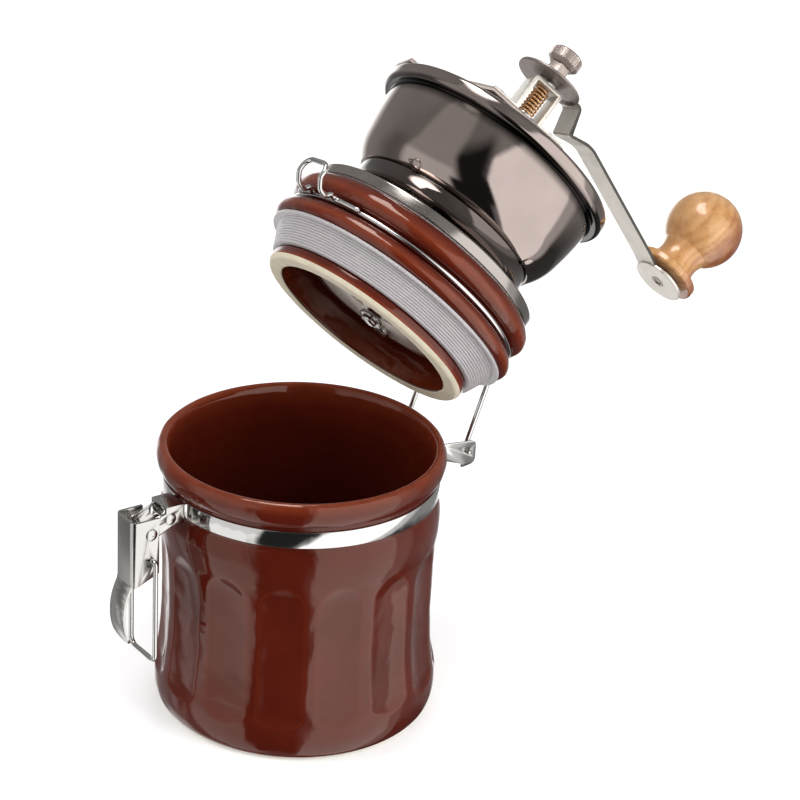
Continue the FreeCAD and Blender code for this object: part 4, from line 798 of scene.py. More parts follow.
def fluted_wall_tree():
    """Presses upright flutes, cut by a wheel outside the wall, into a turned wall."""
    tree, given = start_tree("fluted_wall", {
        "Flutes": "NodeSocketInt",
        "Wheel Distance": "NodeSocketFloat",
        "Softness": "NodeSocketFloat",
        "Turn": "NodeSocketFloat",
        "Material": "NodeSocketMaterial",
    })
    spot = add(tree, "GeometryNodeInputPosition")
    parts = add(tree, "ShaderNodeSeparateXYZ", {0: spot}).outputs
    known = {
        "wall": add(tree, "GeometryNodeInputNamedAttribute", {"Name": "wall_radius"}),
        "depth": add(tree, "GeometryNodeInputNamedAttribute", {"Name": "flute_radius"}),
        "thin": add(tree, "GeometryNodeInputNamedAttribute", {"Name": "glaze_thin"}),
        "x": parts[0],
        "y": parts[1],
        "distance": given["Wheel Distance"],
        "soft": given["Softness"],
        "turn": given["Turn"],
        "flutes": given["Flutes"],
    }
    chain(tree, known, MATH, (
        ("around", "ARCTAN2", "y", "x"),
        ("angle", "SUBTRACT", "around", "turn"),
        ("pitch", "DIVIDE", math.tau, "flutes"),
        ("half", "MULTIPLY", "pitch", 0.5),
        ("other_half", "MULTIPLY", "pitch", -0.5),
        ("off", "WRAP", "angle", "half", "other_half"),
        ("cosine", "COSINE", "off"),
        ("along", "MULTIPLY", "cosine", "distance"),
        ("sine", "SINE", "off"),
        ("across", "MULTIPLY", "sine", "distance"),
        ("wheel", "SUBTRACT", "distance", "depth"),
        ("wheel_square", "POWER", "wheel", 2.0),
        ("across_square", "POWER", "across", 2.0),
        ("left_over", "SUBTRACT", "wheel_square", "across_square"),
        ("reach", "SQRT", "left_over"),
        ("pressed", "SUBTRACT", "along", "reach"),
        ("new_radius", "SMOOTH_MIN", "wall", "pressed", "soft"),
        ("share", "DIVIDE", "new_radius", "wall"),
        ("new_x", "MULTIPLY", "x", "share"),
        ("new_y", "MULTIPLY", "y", "share"),
        ("step", "SUBTRACT", "wall", "pressed"),
        ("apart", "ABSOLUTE", "step"),
    ))
    moved = add(tree, "ShaderNodeCombineXYZ", {0: known["new_x"], 1: known["new_y"], 2: parts[2]})
    known["near"] = add(tree, "ShaderNodeMapRange", {
        "Value": known["apart"],
        "From Min": 0.0, "From Max": given["Softness"], "To Min": glaze.flute_thin, "To Max": 0.0,
    })
    chain(tree, known, MATH, [("edge", "MAXIMUM", "thin", "near")])
    wall = add(tree, "GeometryNodeSetPosition", {"Geometry": given["Geometry"], "Position": moved})
    stored = add(tree, "GeometryNodeStoreNamedAttribute", {
        "Geometry": wall, "Name": "glaze_thin", "Value": known["edge"],
    }, data_type="FLOAT", domain="POINT")
    end_tree(tree, stored, given["Material"])
    return tree


def spaced_round_tree():
    """Repeats a piece at even steps round the Z axis."""
    tree, given = start_tree("spaced_round", {
        "Count": "NodeSocketInt",
        "First Turn": "NodeSocketFloat",
        "Material": "NodeSocketMaterial",
    })
    points = add(tree, "GeometryNodePoints", {"Count": given["Count"]})
    known = {
        "number": add(tree, "GeometryNodeInputIndex"),
        "count": given["Count"],
        "first": given["First Turn"],
    }
    chain(tree, known, MATH, (
        ("step", "DIVIDE", math.tau, "count"),
        ("turn", "MULTIPLY_ADD", "number", "step", "first"),
    ))
    rotation = add(tree, "ShaderNodeCombineXYZ", {2: known["turn"]})
    copies = add(tree, "GeometryNodeInstanceOnPoints", {
        "Points": points, "Instance": given["Geometry"], "Rotation": rotation,
    })
    end_tree(tree, copies, given["Material"])
    return tree


def coil_tree():
    """Winds a round wire into a spring."""
    tree, given = start_tree("coil", {
        "Turns": "NodeSocketFloat",
        "Mean Radius": "NodeSocketFloat",
        "Wire Radius": "NodeSocketFloat",
        "Height": "NodeSocketFloat",
        "Low Level": "NodeSocketFloat",
        "Material": "NodeSocketMaterial",
    })
    spiral = add(tree, "GeometryNodeCurveSpiral", {
        "Resolution": COIL_STEPS,
        "Rotations": given["Turns"],
        "Start Radius": given["Mean Radius"],
        "End Radius": given["Mean Radius"],
        "Height": given["Height"],
    })
    lift = add(tree, "ShaderNodeCombineXYZ", {2: given["Low Level"]})
    raised = add(tree, "GeometryNodeSetPosition", {"Geometry": spiral, "Offset": lift})
    section = add(tree, "GeometryNodeCurvePrimitiveCircle", {
        "Resolution": WIRE_SIDES, "Radius": given["Wire Radius"],
    })
    wire = add(tree, "GeometryNodeCurveToMesh", {
        "Curve": raised, "Profile Curve": section, "Fill Caps": True,
    })
    smooth = add(tree, "GeometryNodeSetShadeSmooth", {"Geometry": wire})
    end_tree(tree, smooth, given["Material"])
    return tree


# Materials

# Where the knob's heartwood lies, across its own axis
HEART_SIDE = (0.8, -0.6, 0.0)

# The colour inputs of a Mix node, whose names its number inputs share
FIRST_COLOUR, SECOND_COLOUR = 6, 7

# Millimetres across one feature of each pattern

grain = SimpleNamespace(
    glaze_pool=22.0,
    glaze_streak=5.0,
    glaze_wave=12.0,
    glaze_peel=2.2,
    clay_drift=6.0,
    clay_sand=0.7,
    steel_line=3.0,
    rolled_line=0.5,
    drawn_line=1.5,
    steel_cloud=9.0,
    satin_line=1.2,
    satin_cloud=7.0,
    nickel_ring=1.2,
    nickel_cloud=14.0,
    silicone_milk=7.0,
    silicone_dust=0.8,
    iron_pit=1.1,
    wood_mottle=5.0,
    wood_stripe=11.0,
    wood_pore=0.55,
)

# Millimetres of height that each pattern has, and where the knob's heartwood starts and ends

relief = SimpleNamespace(
    glaze_wave=0.7,
    glaze_peel=0.02,
    clay_sand=0.06,
    steel_line=0.008,
    satin_line=0.01,
    nickel_ring=0.005,
    silicone_dust=0.02,
    iron_pit=0.12,
    wood_pore=0.03,
    heart_start=10.0,
    heart_end=19.0,
    heart_sway=9.0,
)


def new_tree(name):
    """An empty node tree of a new material."""
    material = bpy.data.materials.new(name)
    material.use_nodes = True
    material.node_tree.nodes.clear()
    return material.node_tree


def end_material(tree, colour, **sockets):
    """Adds the shader, with constant values on its own sockets, and the output."""
    links = {name.replace("_", " "): value for name, value in sockets.items()}
    shader = add(tree, "ShaderNodeBsdfPrincipled", {"Base Color": colour, **links})
    add(tree, "ShaderNodeOutputMaterial", {"Surface": shader})


def toned(colour, share):
    """The same colour, lighter or darker."""
    return (*[min(value * share, 1) for value in colour[:3]], 1)


def drawing_spot(tree, stretch=(1, 1, 1), place=UPRIGHT):
    """Object coordinates taken back to where a piece was drawn, then stretched along its grain."""
    back = place.inverted()
    spot = add(tree, "ShaderNodeTexCoord").outputs["Object"]
    drawn = add(tree, "ShaderNodeMapping", {
        "Vector": spot, "Location": back.to_translation(), "Rotation": back.to_euler(),
    })
    return add(tree, "ShaderNodeMapping", {"Vector": drawn, "Scale": stretch})


def glazed_stoneware(name, palette):
    """Glazed and fired stoneware: a deep glassy brown that thins to rust on every edge, where on
    the beads' crests it also stands for a painted highlight, and is darkened inside as painted
    shade.  The glaze lies a little unevenly, so mirror images in it waver."""
    tree = new_tree(name)
    spot = drawing_spot(tree)
    pools = add(tree, "ShaderNodeTexNoise", {
        "Vector": spot, "Scale": per_metre(grain.glaze_pool), "Detail": 3.0,
    })
    drift = add(tree, "ShaderNodeMapRange", {"Value": pools, "From Min": 0.35, "From Max": 0.65})
    body = add(tree, "ShaderNodeMix", {
        "Factor": drift,
        FIRST_COLOUR: toned(palette.glaze, 0.88), SECOND_COLOUR: toned(palette.glaze, 1.12),
    }, data_type="RGBA")
    # Painted shade: the glaze is darkened inside the jar and in the lid's hollow
    deep = add(tree, "ShaderNodeAttribute", attribute_name="glaze_deep").outputs["Fac"]
    inner_shaded = add(tree, "ShaderNodeMix", {
        "Factor": deep, FIRST_COLOUR: body, SECOND_COLOUR: toned(palette.glaze, 0.4),
    }, data_type="RGBA")
    streaks = add(tree, "ShaderNodeTexNoise", {
        "Vector": spot, "Scale": per_metre(grain.glaze_streak), "Detail": 4.0,
    })
    breaking = add(tree, "ShaderNodeMapRange", {
        "Value": streaks, "From Min": 0.3, "From Max": 0.7, "To Min": 0.7, "To Max": 1.1,
    })
    # Thin glaze, which on the beads' crests also stands for a painted highlight, is mixed towards
    # rust
    thin = add(tree, "ShaderNodeAttribute", attribute_name="glaze_thin").outputs["Fac"]
    share = add(tree, "ShaderNodeMath", {0: thin, 1: breaking}, operation="MULTIPLY")
    colour = add(tree, "ShaderNodeMix", {
        "Factor": share, FIRST_COLOUR: inner_shaded, SECOND_COLOUR: toned(palette.glaze_edge, 1),
    }, data_type="RGBA")
    gloss = add(tree, "ShaderNodeMapRange", {
        "Value": streaks, "From Min": 0.3, "From Max": 0.7, "To Min": 0.045, "To Max": 0.09,
    })
    waves = add(tree, "ShaderNodeTexNoise", {
        "Vector": spot, "Scale": per_metre(grain.glaze_wave), "Detail": 1.0,
    })
    waver = add(tree, "ShaderNodeBump", {"Height": waves, "Distance": relief.glaze_wave * MM})
    peel = add(tree, "ShaderNodeTexNoise", {
        "Vector": spot, "Scale": per_metre(grain.glaze_peel), "Detail": 1.0,
    })
    skin = add(tree, "ShaderNodeBump", {
        "Height": peel, "Distance": relief.glaze_peel * MM, "Normal": waver,
    })
    end_material(
        tree, colour, Roughness=gloss, IOR=1.52, Specular_Tint=(1, 0.82, 0.72, 1), Normal=skin
    )


def bare_stoneware(name, palette):
    """Unglazed fired clay: dry cream, with a fine open grain and small iron specks."""
    tree = new_tree(name)
    spot = drawing_spot(tree)
    drift = add(tree, "ShaderNodeTexNoise", {
        "Vector": spot, "Scale": per_metre(grain.clay_drift), "Detail": 4.0,
    })
    clay = add(tree, "ShaderNodeMix", {
        "Factor": drift,
        FIRST_COLOUR: toned(palette.bisque, 0.8), SECOND_COLOUR: toned(palette.bisque, 1.1),
    }, data_type="RGBA")
    dots = add(tree, "ShaderNodeTexNoise", {
        "Vector": spot, "Scale": per_metre(grain.clay_sand), "Detail": 2.0,
    })
    specks = add(tree, "ShaderNodeMapRange", {
        "Value": dots, "From Min": 0.68, "From Max": 0.78, "To Min": 0.0, "To Max": 0.5,
    })
    colour = add(tree, "ShaderNodeMix", {
        "Factor": specks, FIRST_COLOUR: clay, SECOND_COLOUR: toned(palette.bisque, 0.35),
    }, data_type="RGBA")
    sand = add(tree, "ShaderNodeBump", {"Height": dots, "Distance": relief.clay_sand * MM})
    end_material(tree, colour, Roughness=0.78, Normal=sand)


def worked_steel(
    name, colour, roughness, stretch=(1, 1, 1), place=UPRIGHT, line=grain.steel_line
):
    """Bright steel, rolled, drawn, pressed or plated: a near-mirror with fine lines along its
    working direction, drawn coarser than real so that they show, and faint clouding from hands."""
    tree = new_tree(name)
    spot = drawing_spot(tree, stretch, place)
    lines = add(tree, "ShaderNodeTexNoise", {
        "Vector": spot, "Scale": per_metre(line), "Detail": 4.0, "Roughness": 0.65,
    })
    clouds = add(tree, "ShaderNodeTexNoise", {
        "Vector": drawing_spot(tree), "Scale": per_metre(grain.steel_cloud), "Detail": 2.0,
    })
    tone = add(tree, "ShaderNodeMix", {
        "Factor": clouds, FIRST_COLOUR: toned(colour, 0.9), SECOND_COLOUR: toned(colour, 1.06),
    }, data_type="RGBA")
    handled = add(tree, "ShaderNodeMapRange", {
        "Value": clouds, "From Min": 0.4, "From Max": 0.8,
        "To Min": 0.6 * roughness, "To Max": 0.6 * roughness + 0.04,
    })
    rough = add(
        tree, "ShaderNodeMath", {0: lines, 1: 0.7 * roughness, 2: handled}, operation="MULTIPLY_ADD"
    )
    scratches = add(tree, "ShaderNodeBump", {"Height": lines, "Distance": relief.steel_line * MM})
    end_material(tree, tone, Roughness=rough, Metallic=1.0, Normal=scratches)


def satin_steel(name, colour, roughness, stretch=(1, 1, 1), place=UPRIGHT):
    """Barrel-finished and plated steel: pale and nearly matt, with soft reflections only, fine
    brushing and a faint clouding from hands."""
    tree = new_tree(name)
    lines = add(tree, "ShaderNodeTexNoise", {
        "Vector": drawing_spot(tree, stretch, place),
        "Scale": per_metre(grain.satin_line), "Detail": 4.0,
    })
    clouds = add(tree, "ShaderNodeTexNoise", {
        "Vector": drawing_spot(tree), "Scale": per_metre(grain.satin_cloud), "Detail": 3.0,
    })
    tone = add(tree, "ShaderNodeMix", {
        "Factor": clouds, FIRST_COLOUR: toned(colour, 0.86), SECOND_COLOUR: toned(colour, 1.1),
    }, data_type="RGBA")
    rough = add(tree, "ShaderNodeMapRange", {
        "Value": lines, "From Min": 0.3, "From Max": 0.7,
        "To Min": roughness - 0.06, "To Max": roughness + 0.06,
    })
    brushing = add(tree, "ShaderNodeBump", {"Height": lines, "Distance": relief.satin_line * MM})
    end_material(tree, tone, Roughness=rough, Metallic=0.6, Normal=brushing)


def black_nickel(name, palette, tone_share=1.0):
    """Spun steel plated with black nickel: a dark mirror, warm grey where it is lit, with painted
    shade nearly black in the fold under its rim, and the faintest rings from spinning."""
    tree = new_tree(name)
    spun = drawing_spot(tree, (0.15, 0.15, 1), LID)
    rings = add(tree, "ShaderNodeTexNoise", {
        "Vector": spun, "Scale": per_metre(grain.nickel_ring), "Detail": 3.0,
    })
    clouds = add(tree, "ShaderNodeTexNoise", {
        "Vector": drawing_spot(tree), "Scale": per_metre(grain.nickel_cloud), "Detail": 2.0,
    })
    tone = add(tree, "ShaderNodeMix", {
        "Factor": clouds,
        FIRST_COLOUR: toned(palette.dark_nickel, 0.88 * tone_share),
        SECOND_COLOUR: toned(palette.dark_nickel, 1.12 * tone_share),
    }, data_type="RGBA")
    # Painted shade: the fold under the bowl's rim is darkened nearly to black
    folds = add(tree, "ShaderNodeAttribute", attribute_name="fold_dark").outputs["Fac"]
    folded = add(tree, "ShaderNodeMix", {
        "Factor": folds, FIRST_COLOUR: tone, SECOND_COLOUR: toned(palette.dark_nickel, 0.03),
    }, data_type="RGBA")
    gloss = add(tree, "ShaderNodeMapRange", {
        "Value": rings, "From Min": 0.3, "From Max": 0.7, "To Min": 0.04, "To Max": 0.09,
    })
    spinning = add(tree, "ShaderNodeBump", {"Height": rings, "Distance": relief.nickel_ring * MM})
    end_material(tree, folded, Roughness=gloss, Metallic=1.0, Normal=spinning)


def silicone(name, palette):
    """Moulded translucent silicone: milky grey with soft scattered light and a waxy sheen."""
    tree = new_tree(name)
    spot = drawing_spot(tree)
    milk = add(tree, "ShaderNodeTexNoise", {
        "Vector": spot, "Scale": per_metre(grain.silicone_milk), "Detail": 2.0,
    })
    colour = add(tree, "ShaderNodeMix", {
        "Factor": milk,
        FIRST_COLOUR: toned(palette.gasket, 0.9), SECOND_COLOUR: toned(palette.gasket, 1.08),
    }, data_type="RGBA")
    dust = add(tree, "ShaderNodeTexNoise", {
        "Vector": spot, "Scale": per_metre(grain.silicone_dust), "Detail": 2.0,
    })
    skin = add(tree, "ShaderNodeBump", {"Height": dust, "Distance": relief.silicone_dust * MM})
    end_material(
        tree, colour, Roughness=0.34, IOR=1.41, Normal=skin,
        Subsurface_Weight=0.3, Subsurface_Scale=1.5 * MM, Subsurface_Radius=(1.0, 0.9, 0.9),
    )


def cast_iron(name, palette):
    """Cast and ground iron: dull grey with a sandy, slightly pitted grain."""
    tree = new_tree(name)
    pits = add(tree, "ShaderNodeTexNoise", {
        "Vector": drawing_spot(tree),
        "Scale": per_metre(grain.iron_pit), "Detail": 5.0, "Roughness": 0.6,
    })
    colour = add(tree, "ShaderNodeMix", {
        "Factor": pits,
        FIRST_COLOUR: toned(palette.iron, 0.6), SECOND_COLOUR: toned(palette.iron, 1.3),
    }, data_type="RGBA")
    rough = add(tree, "ShaderNodeMapRange", {
        "Value": pits, "From Min": 0.3, "From Max": 0.7, "To Min": 0.6, "To Max": 0.35,
    })
    sand = add(tree, "ShaderNodeBump", {"Height": pits, "Distance": relief.iron_pit * MM})
    end_material(tree, colour, Roughness=rough, Metallic=0.9, Normal=sand)


def turned_wood(name, palette):
    """Turned and varnished hardwood: honey sapwood, mottled and softly striped along the knob,
    reddening to heartwood on one side, with short pores under a clear glossy coat."""
    tree = new_tree(name)
    mottle = add(tree, "ShaderNodeTexNoise", {
        "Vector": drawing_spot(tree, (1, 1, 0.6), KNOB),
        "Scale": per_metre(grain.wood_mottle), "Detail": 5.0, "Roughness": 0.6,
    })
    stripes = add(tree, "ShaderNodeTexWave", {
        "Vector": drawing_spot(tree, (1, 1, 0.16), KNOB),
        "Scale": per_metre(grain.wood_stripe),
        "Distortion": 6.0, "Detail": 3.0, "Detail Scale": 1.4,
    }, wave_type="BANDS", bands_direction="X").outputs["Fac"]
    growth = add(tree, "ShaderNodeMath", {0: stripes, 1: 0.25, 2: mottle}, operation="MULTIPLY_ADD")
    share = add(tree, "ShaderNodeMapRange", {"Value": growth, "From Min": 0.4, "From Max": 0.85})
    sapwood = add(tree, "ShaderNodeMix", {
        "Factor": share,
        FIRST_COLOUR: toned(palette.wood_light, 1), SECOND_COLOUR: toned(palette.wood_mottle, 1),
    }, data_type="RGBA")
    depth = add(tree, "ShaderNodeVectorMath", {
        0: drawing_spot(tree, (1, 1, 1), KNOB), 1: HEART_SIDE,
    }, operation="DOT_PRODUCT").outputs["Value"]
    uneven = add(
        tree, "ShaderNodeMath", {0: mottle, 1: relief.heart_sway * MM, 2: depth},
        operation="MULTIPLY_ADD",
    )
    heart = add(tree, "ShaderNodeMapRange", {
        "Value": uneven, "From Min": relief.heart_start * MM, "From Max": relief.heart_end * MM,
    })
    wood = add(tree, "ShaderNodeMix", {
        "Factor": heart, FIRST_COLOUR: sapwood, SECOND_COLOUR: toned(palette.wood_dark, 1),
    }, data_type="RGBA")
    pores = add(tree, "ShaderNodeTexNoise", {
        "Vector": drawing_spot(tree, (1, 1, 0.08), KNOB),
        "Scale": per_metre(grain.wood_pore), "Detail": 2.0,
    })
    open_pores = add(tree, "ShaderNodeMapRange", {
        "Value": pores, "From Min": 0.58, "From Max": 0.75, "To Min": 0.0, "To Max": 0.4,
    })
    colour = add(tree, "ShaderNodeMix", {
        "Factor": open_pores, FIRST_COLOUR: wood, SECOND_COLOUR: toned(palette.wood_dark, 0.6),
    }, data_type="RGBA")
    open_grain = add(tree, "ShaderNodeBump", {"Height": pores, "Distance": relief.wood_pore * MM})
    end_material(
        tree, colour, Roughness=0.32, Normal=open_grain, Coat_Weight=0.7, Coat_Roughness=0.09
    )


# Settings that a user would change

def colour_setting(label, code, note):
    """A colour with its default given as sRGB hex."""
    return FloatVectorProperty(
        name=label, description=note, subtype="COLOR", size=3, min=0, max=1, default=linear(code)
    )


def length_setting(label, size, note, low=0.0):
    """A length whose default is given in millimetres."""
    return FloatProperty(
        name=label, description=note, subtype="DISTANCE", unit="LENGTH", min=low, default=size * MM
    )


class GrinderSizes(bpy.types.PropertyGroup):
    """Sizes of the details that Blender adds to the construction model."""

    flutes: IntProperty(
        name="Flutes", description="Upright flutes round the jar", min=3, default=mm.flute_count)
    flute_softness: length_setting(
        "Flute softness", 0.42, "How far the glaze rounds each flute's edge")
    gasket_ribs: IntProperty(
        name="Gasket ribs", description="Soft ribs on the lid's gasket", min=2, default=10)
    spring_turns: FloatProperty(
        name="Spring turns", description="Turns of the adjuster spring", min=2, default=7.5)
    knurls: IntProperty(
        name="Knurls", description="Upright ridges round the thumb nut", min=8, default=34)
    knurl_height: length_setting("Knurl height", 0.32, "How far a knurl stands out of the nut")
    bowl_rivets: IntProperty(
        name="Bowl rivets", description="Small rivets round the foot of the bowl", min=1, default=4)
    edge_break: length_setting("Edge break", 0.16, "Width of the broken edges on sheet metal")


class GrinderColours(bpy.types.PropertyGroup):
    """Colours of the materials."""

    glaze: colour_setting("Glaze", "#541A0F", "Brown glaze where it is thick")
    # Rust of thin glaze, also used as a painted highlight on the beads' crests
    glaze_edge: colour_setting("Glaze edge", "#8F3F22", "Rust brown where the glaze runs thin")
    bisque: colour_setting("Bare clay", "#E2D7BF", "Unglazed foot of the lid")
    bright_steel: colour_setting("Bright steel", "#D4D2CF", "Polished stainless steel")
    arm_steel: colour_setting("Crank", "#E4DED4", "Satin steel of the crank")
    plated_steel: colour_setting("Plated steel", "#C2BFBB", "Nickel plated pressed steel")
    dark_nickel: colour_setting("Black nickel", "#A2958F", "Dark plating of the hopper")
    flange_steel: colour_setting("Flange", "#A7A09A", "Outer rim of the hopper's base")
    gasket: colour_setting("Gasket", "#BEB9BA", "Milky silicone")
    iron: colour_setting("Iron", "#6A665F", "Burrs")
    copper: colour_setting("Copper", "#DBAA78", "Copper washed spring wire")
    nut_steel: colour_setting("Nut steel", "#B0A29B", "Warm nickel of the nuts")
    wood_light: colour_setting("Sapwood", "#DBA870", "Light wood of the knob")
    wood_mottle: colour_setting("Mottled wood", "#C38A53", "Darker patches in the light wood")
    wood_dark: colour_setting("Heartwood", "#8A4522", "Red-brown side of the knob")


class GrinderStage(bpy.types.PropertyGroup):
    """Camera, floor and light."""

    azimuth: FloatProperty(
        name="Azimuth", description="Direction of the view round the jar", subtype="ANGLE",
        default=math.radians(45.522))
    elevation: FloatProperty(
        name="Elevation", description="Height of the view above the horizon", subtype="ANGLE",
        default=math.radians(25.03))
    roll: FloatProperty(
        name="Roll", description="Tilt of the camera about its own line of sight", subtype="ANGLE",
        default=math.radians(3.027))
    distance: length_setting("Distance", 900.0, "Camera to the point that it looks at", 0.1)
    lens: FloatProperty(
        name="Focal length", description="Lens on a 36 mm sensor", min=10, default=112.76)
    aim: FloatVectorProperty(
        name="Aim", description="Point that the camera looks at", subtype="XYZ", unit="LENGTH",
        default=(0.01498, 0.03299, 0.11459))
    floor: colour_setting("Floor", "#F2F2F2", "Plain pale floor")
    floor_lift: FloatProperty(
        name="Floor lift", description="White that the floor shows to the eye alone", min=0,
        default=0.3)
    lamp_level: FloatProperty(
        name="Lamp level", description="Brightness of every lamp together", min=0, default=1.0)
    fill_level: FloatProperty(
        name="Fill level", description="Soft light from all round", min=0, default=0.4)
    panel_level: FloatProperty(
        name="Panel level", description="Brightness of what polished surfaces mirror", min=0,
        default=1.0)


def settings():
    """Sizes, colours and stage of the open scene."""
    scene = bpy.context.scene
    return scene.grinder_sizes, scene.grinder_colours, scene.grinder_stage


# Pieces

def make_jar(sizes, materials):
    """The jar's wall is turned plain, then its flutes are pressed in."""
    bead_out = mm.bead_middle + mm.bead_shoulder_in
    bead_in = mm.bead_middle - mm.bead_shoulder_in
    bead_low = mm.bead_level - mm.bead_shoulder_up
    bead_high = mm.bead_level + mm.bead_shoulder_up
    heel_out = mm.heel_radius - mm.foot_radius
    heel_round = dome_radius(heel_out, mm.heel_level) - mm.heel_tuck
    wall = outline([
        (mm.foot_inner, 0),
        (mm.foot_radius, 0),
        (mm.heel_radius, mm.heel_level, heel_round, 1),
        (mm.bulge_radius, mm.bulge_level, mm.bulge_round, 1),
        (mm.skirt_radius, mm.skirt_level, mm.skirt_round, 1),
        (mm.waist_radius, mm.waist_level, mm.waist_low_round, -1),
        (mm.chest_radius, mm.chest_level, mm.waist_high_round, -1),
        (mm.shoulder_radius, mm.shoulder_level, mm.shoulder_round, 1),
        (mm.neck_radius, mm.collar_level, mm.collar_round, 1),
        (mm.neck_radius, mm.bead_level - mm.bead_half_height),
        (bead_out, bead_low, mm.bead_top_round, 1),
        (bead_out, bead_high, mm.bead_side_round, 1),
        (bead_in, bead_high, mm.bead_top_round, 1),
        (mm.bead_middle - mm.bead_half_width, mm.bead_level, mm.bead_side_round, 1),
        (mm.bead_middle - mm.bead_half_width, mm.jar_throat_top),
        (mm.jar_bore, mm.jar_throat_low),
        (mm.jar_bore, mm.jar_floor + mm.jar_floor_round),
        (mm.jar_bore - mm.jar_floor_round, mm.jar_floor, mm.jar_floor_round, -1),
        (0, mm.jar_floor),
        (0, 0),
        (mm.foot_disc, 0),
        (mm.foot_disc + mm.foot_recess, mm.foot_recess),
        (mm.foot_inner - mm.foot_recess, mm.foot_recess),
    ], soft=0.7)
    high_round, low_round = mm.flute_high_round, mm.flute_low_round
    high_out = high_round - math.sqrt(high_round ** 2 - mm.flute_high_reach ** 2)
    low_out = low_round - math.sqrt(low_round ** 2 - mm.flute_low_reach ** 2)
    flute_top = mm.flute_high + mm.flute_high_reach
    flute_low = mm.skirt_level - mm.flute_low_reach
    flute_waist = mm.waist_radius - mm.flute_depth
    line = [Vector((mm.flute_high_radius + high_out, flute_top))]
    for radius, level, bend, turn in (
        (mm.flute_high_radius, mm.flute_high, high_round, 1),
        (flute_waist, mm.waist_level, mm.waist_high_round, 1),
        (mm.flute_low_radius, mm.skirt_level, mm.waist_low_round, 1),
        (mm.flute_low_radius + low_out, flute_low, low_round, 1),
    ):
        line += arc_points(line[-1], Vector((radius, level)), bend, turn)

    def flute_radius(level):
        """How deep the flute reaches at a level, or well outside the wall beyond its ends."""
        past_end = max(flute_low - level, level - flute_top, 0)
        for upper, lower in zip(line, line[1:]):
            if lower.y <= level <= upper.y:
                share = (level - lower.y) / max(upper.y - lower.y, MM)
                return lower.x + (upper.x - lower.x) * share
        return line[0 if level > flute_top else -1].x + FLUTE_LEAVES * past_end

    def cut_radius(across, level):
        """The flute's radius at a point of the outer wall, and one far outside elsewhere."""
        if across > mm.jar_bore + mm.outer_side and level < bead_low:
            return flute_radius(level) * MM
        return FAR_OUT * mm.flute_axis * MM

    def edge_glaze_and_highlight_at(across, level):
        """Glaze runs thin on the bead's crest, where it also stands for a painted highlight, and on
        the foot's edge.
        """
        rim = between(level, bead_high - glaze.rim_run, bead_high + glaze.rim_past)
        inside = level > mm.jar_throat_top and across < bead_in
        foot = between(mm.heel_level - level, 0, mm.heel_level) if across > mm.foot_inner else 0
        return max(
            rim * glaze.rim_thin_and_highlight, glaze.throat_thin if inside else 0, foot * glaze.foot_thin
        )

    def inner_shade_at(across, level):
        """Painted shade inside the jar, darker from its throat down."""
        return between(mm.jar_throat_top - level, 0, glaze.inner_shade_run) if across < bead_in else 0

    piece = lathe("glazed_jar", wall, columns=450)
    mark(piece, "wall_radius", lambda across, level: max(across, MM) * MM)
    mark(piece, "flute_radius", cut_radius)
    mark(piece, "glaze_thin", edge_glaze_and_highlight_at)
    mark(piece, "glaze_deep", inner_shade_at)
    grown(
        piece, fluted_wall_tree(),
        flutes=sizes.flutes, wheel_distance=mm.flute_axis * MM, softness=sizes.flute_softness,
        turn=math.radians(mm.flute_turn), material=materials.glaze,
    )
    piece.data.materials.append(materials.bisque)
    bare_top = (mm.foot_recess + mm.bare_margin) * MM
    for face in piece.data.polygons:
        if face.normal.z < LOOKS_DOWN and face.center.z < bare_top:
            face.material_index = 1
    finished(piece, "jar_body", "glazed_ceramic", None, "jar")


def make_neck_band(materials):
    """Rolled steel band, its ears and the hinge bracket."""
    eased_node("jar_band", "jar_body", "band_steel", materials.band, "neck_band")
    eased_node("hinge_bracket", "jar_body", "band_steel", materials.bright, "hinge_plate")


def make_latch(materials):
    """Saddle, rivet, pivot, lever and bail of the clip."""
    eased_node("latch_saddle", "jar_body", "band_steel", materials.plated)
    eased_node("latch_rivet", "jar_body", "latch_steel", materials.plated)
    eased_node("latch_pivot_pin", "jar_body", "latch_steel", materials.plated)
    eased_node("latch_lever", "lever", "latch_steel", materials.plated, share=SOFT_EDGES)
    out = -(mm.latch_plane + mm.bail_out)
    top, low = mm.bail_level, mm.bail_level - mm.bail_long
    side = [
        Vector((mm.bail_end, out, top)),
        Vector((mm.bail_half, out, top)),
        Vector((mm.bail_half, out, low)),
    ]
    radii = [mm.bail_knee, mm.bail_corner, mm.bail_corner, mm.bail_knee]
    wire = tube("latch_bail_wire", rounded_path(side + mirrored(side), radii), mm.bail_wire)
    finished(placed(wire, LATCH), "bail", "wire_steel", materials.wire, "latch_bail")


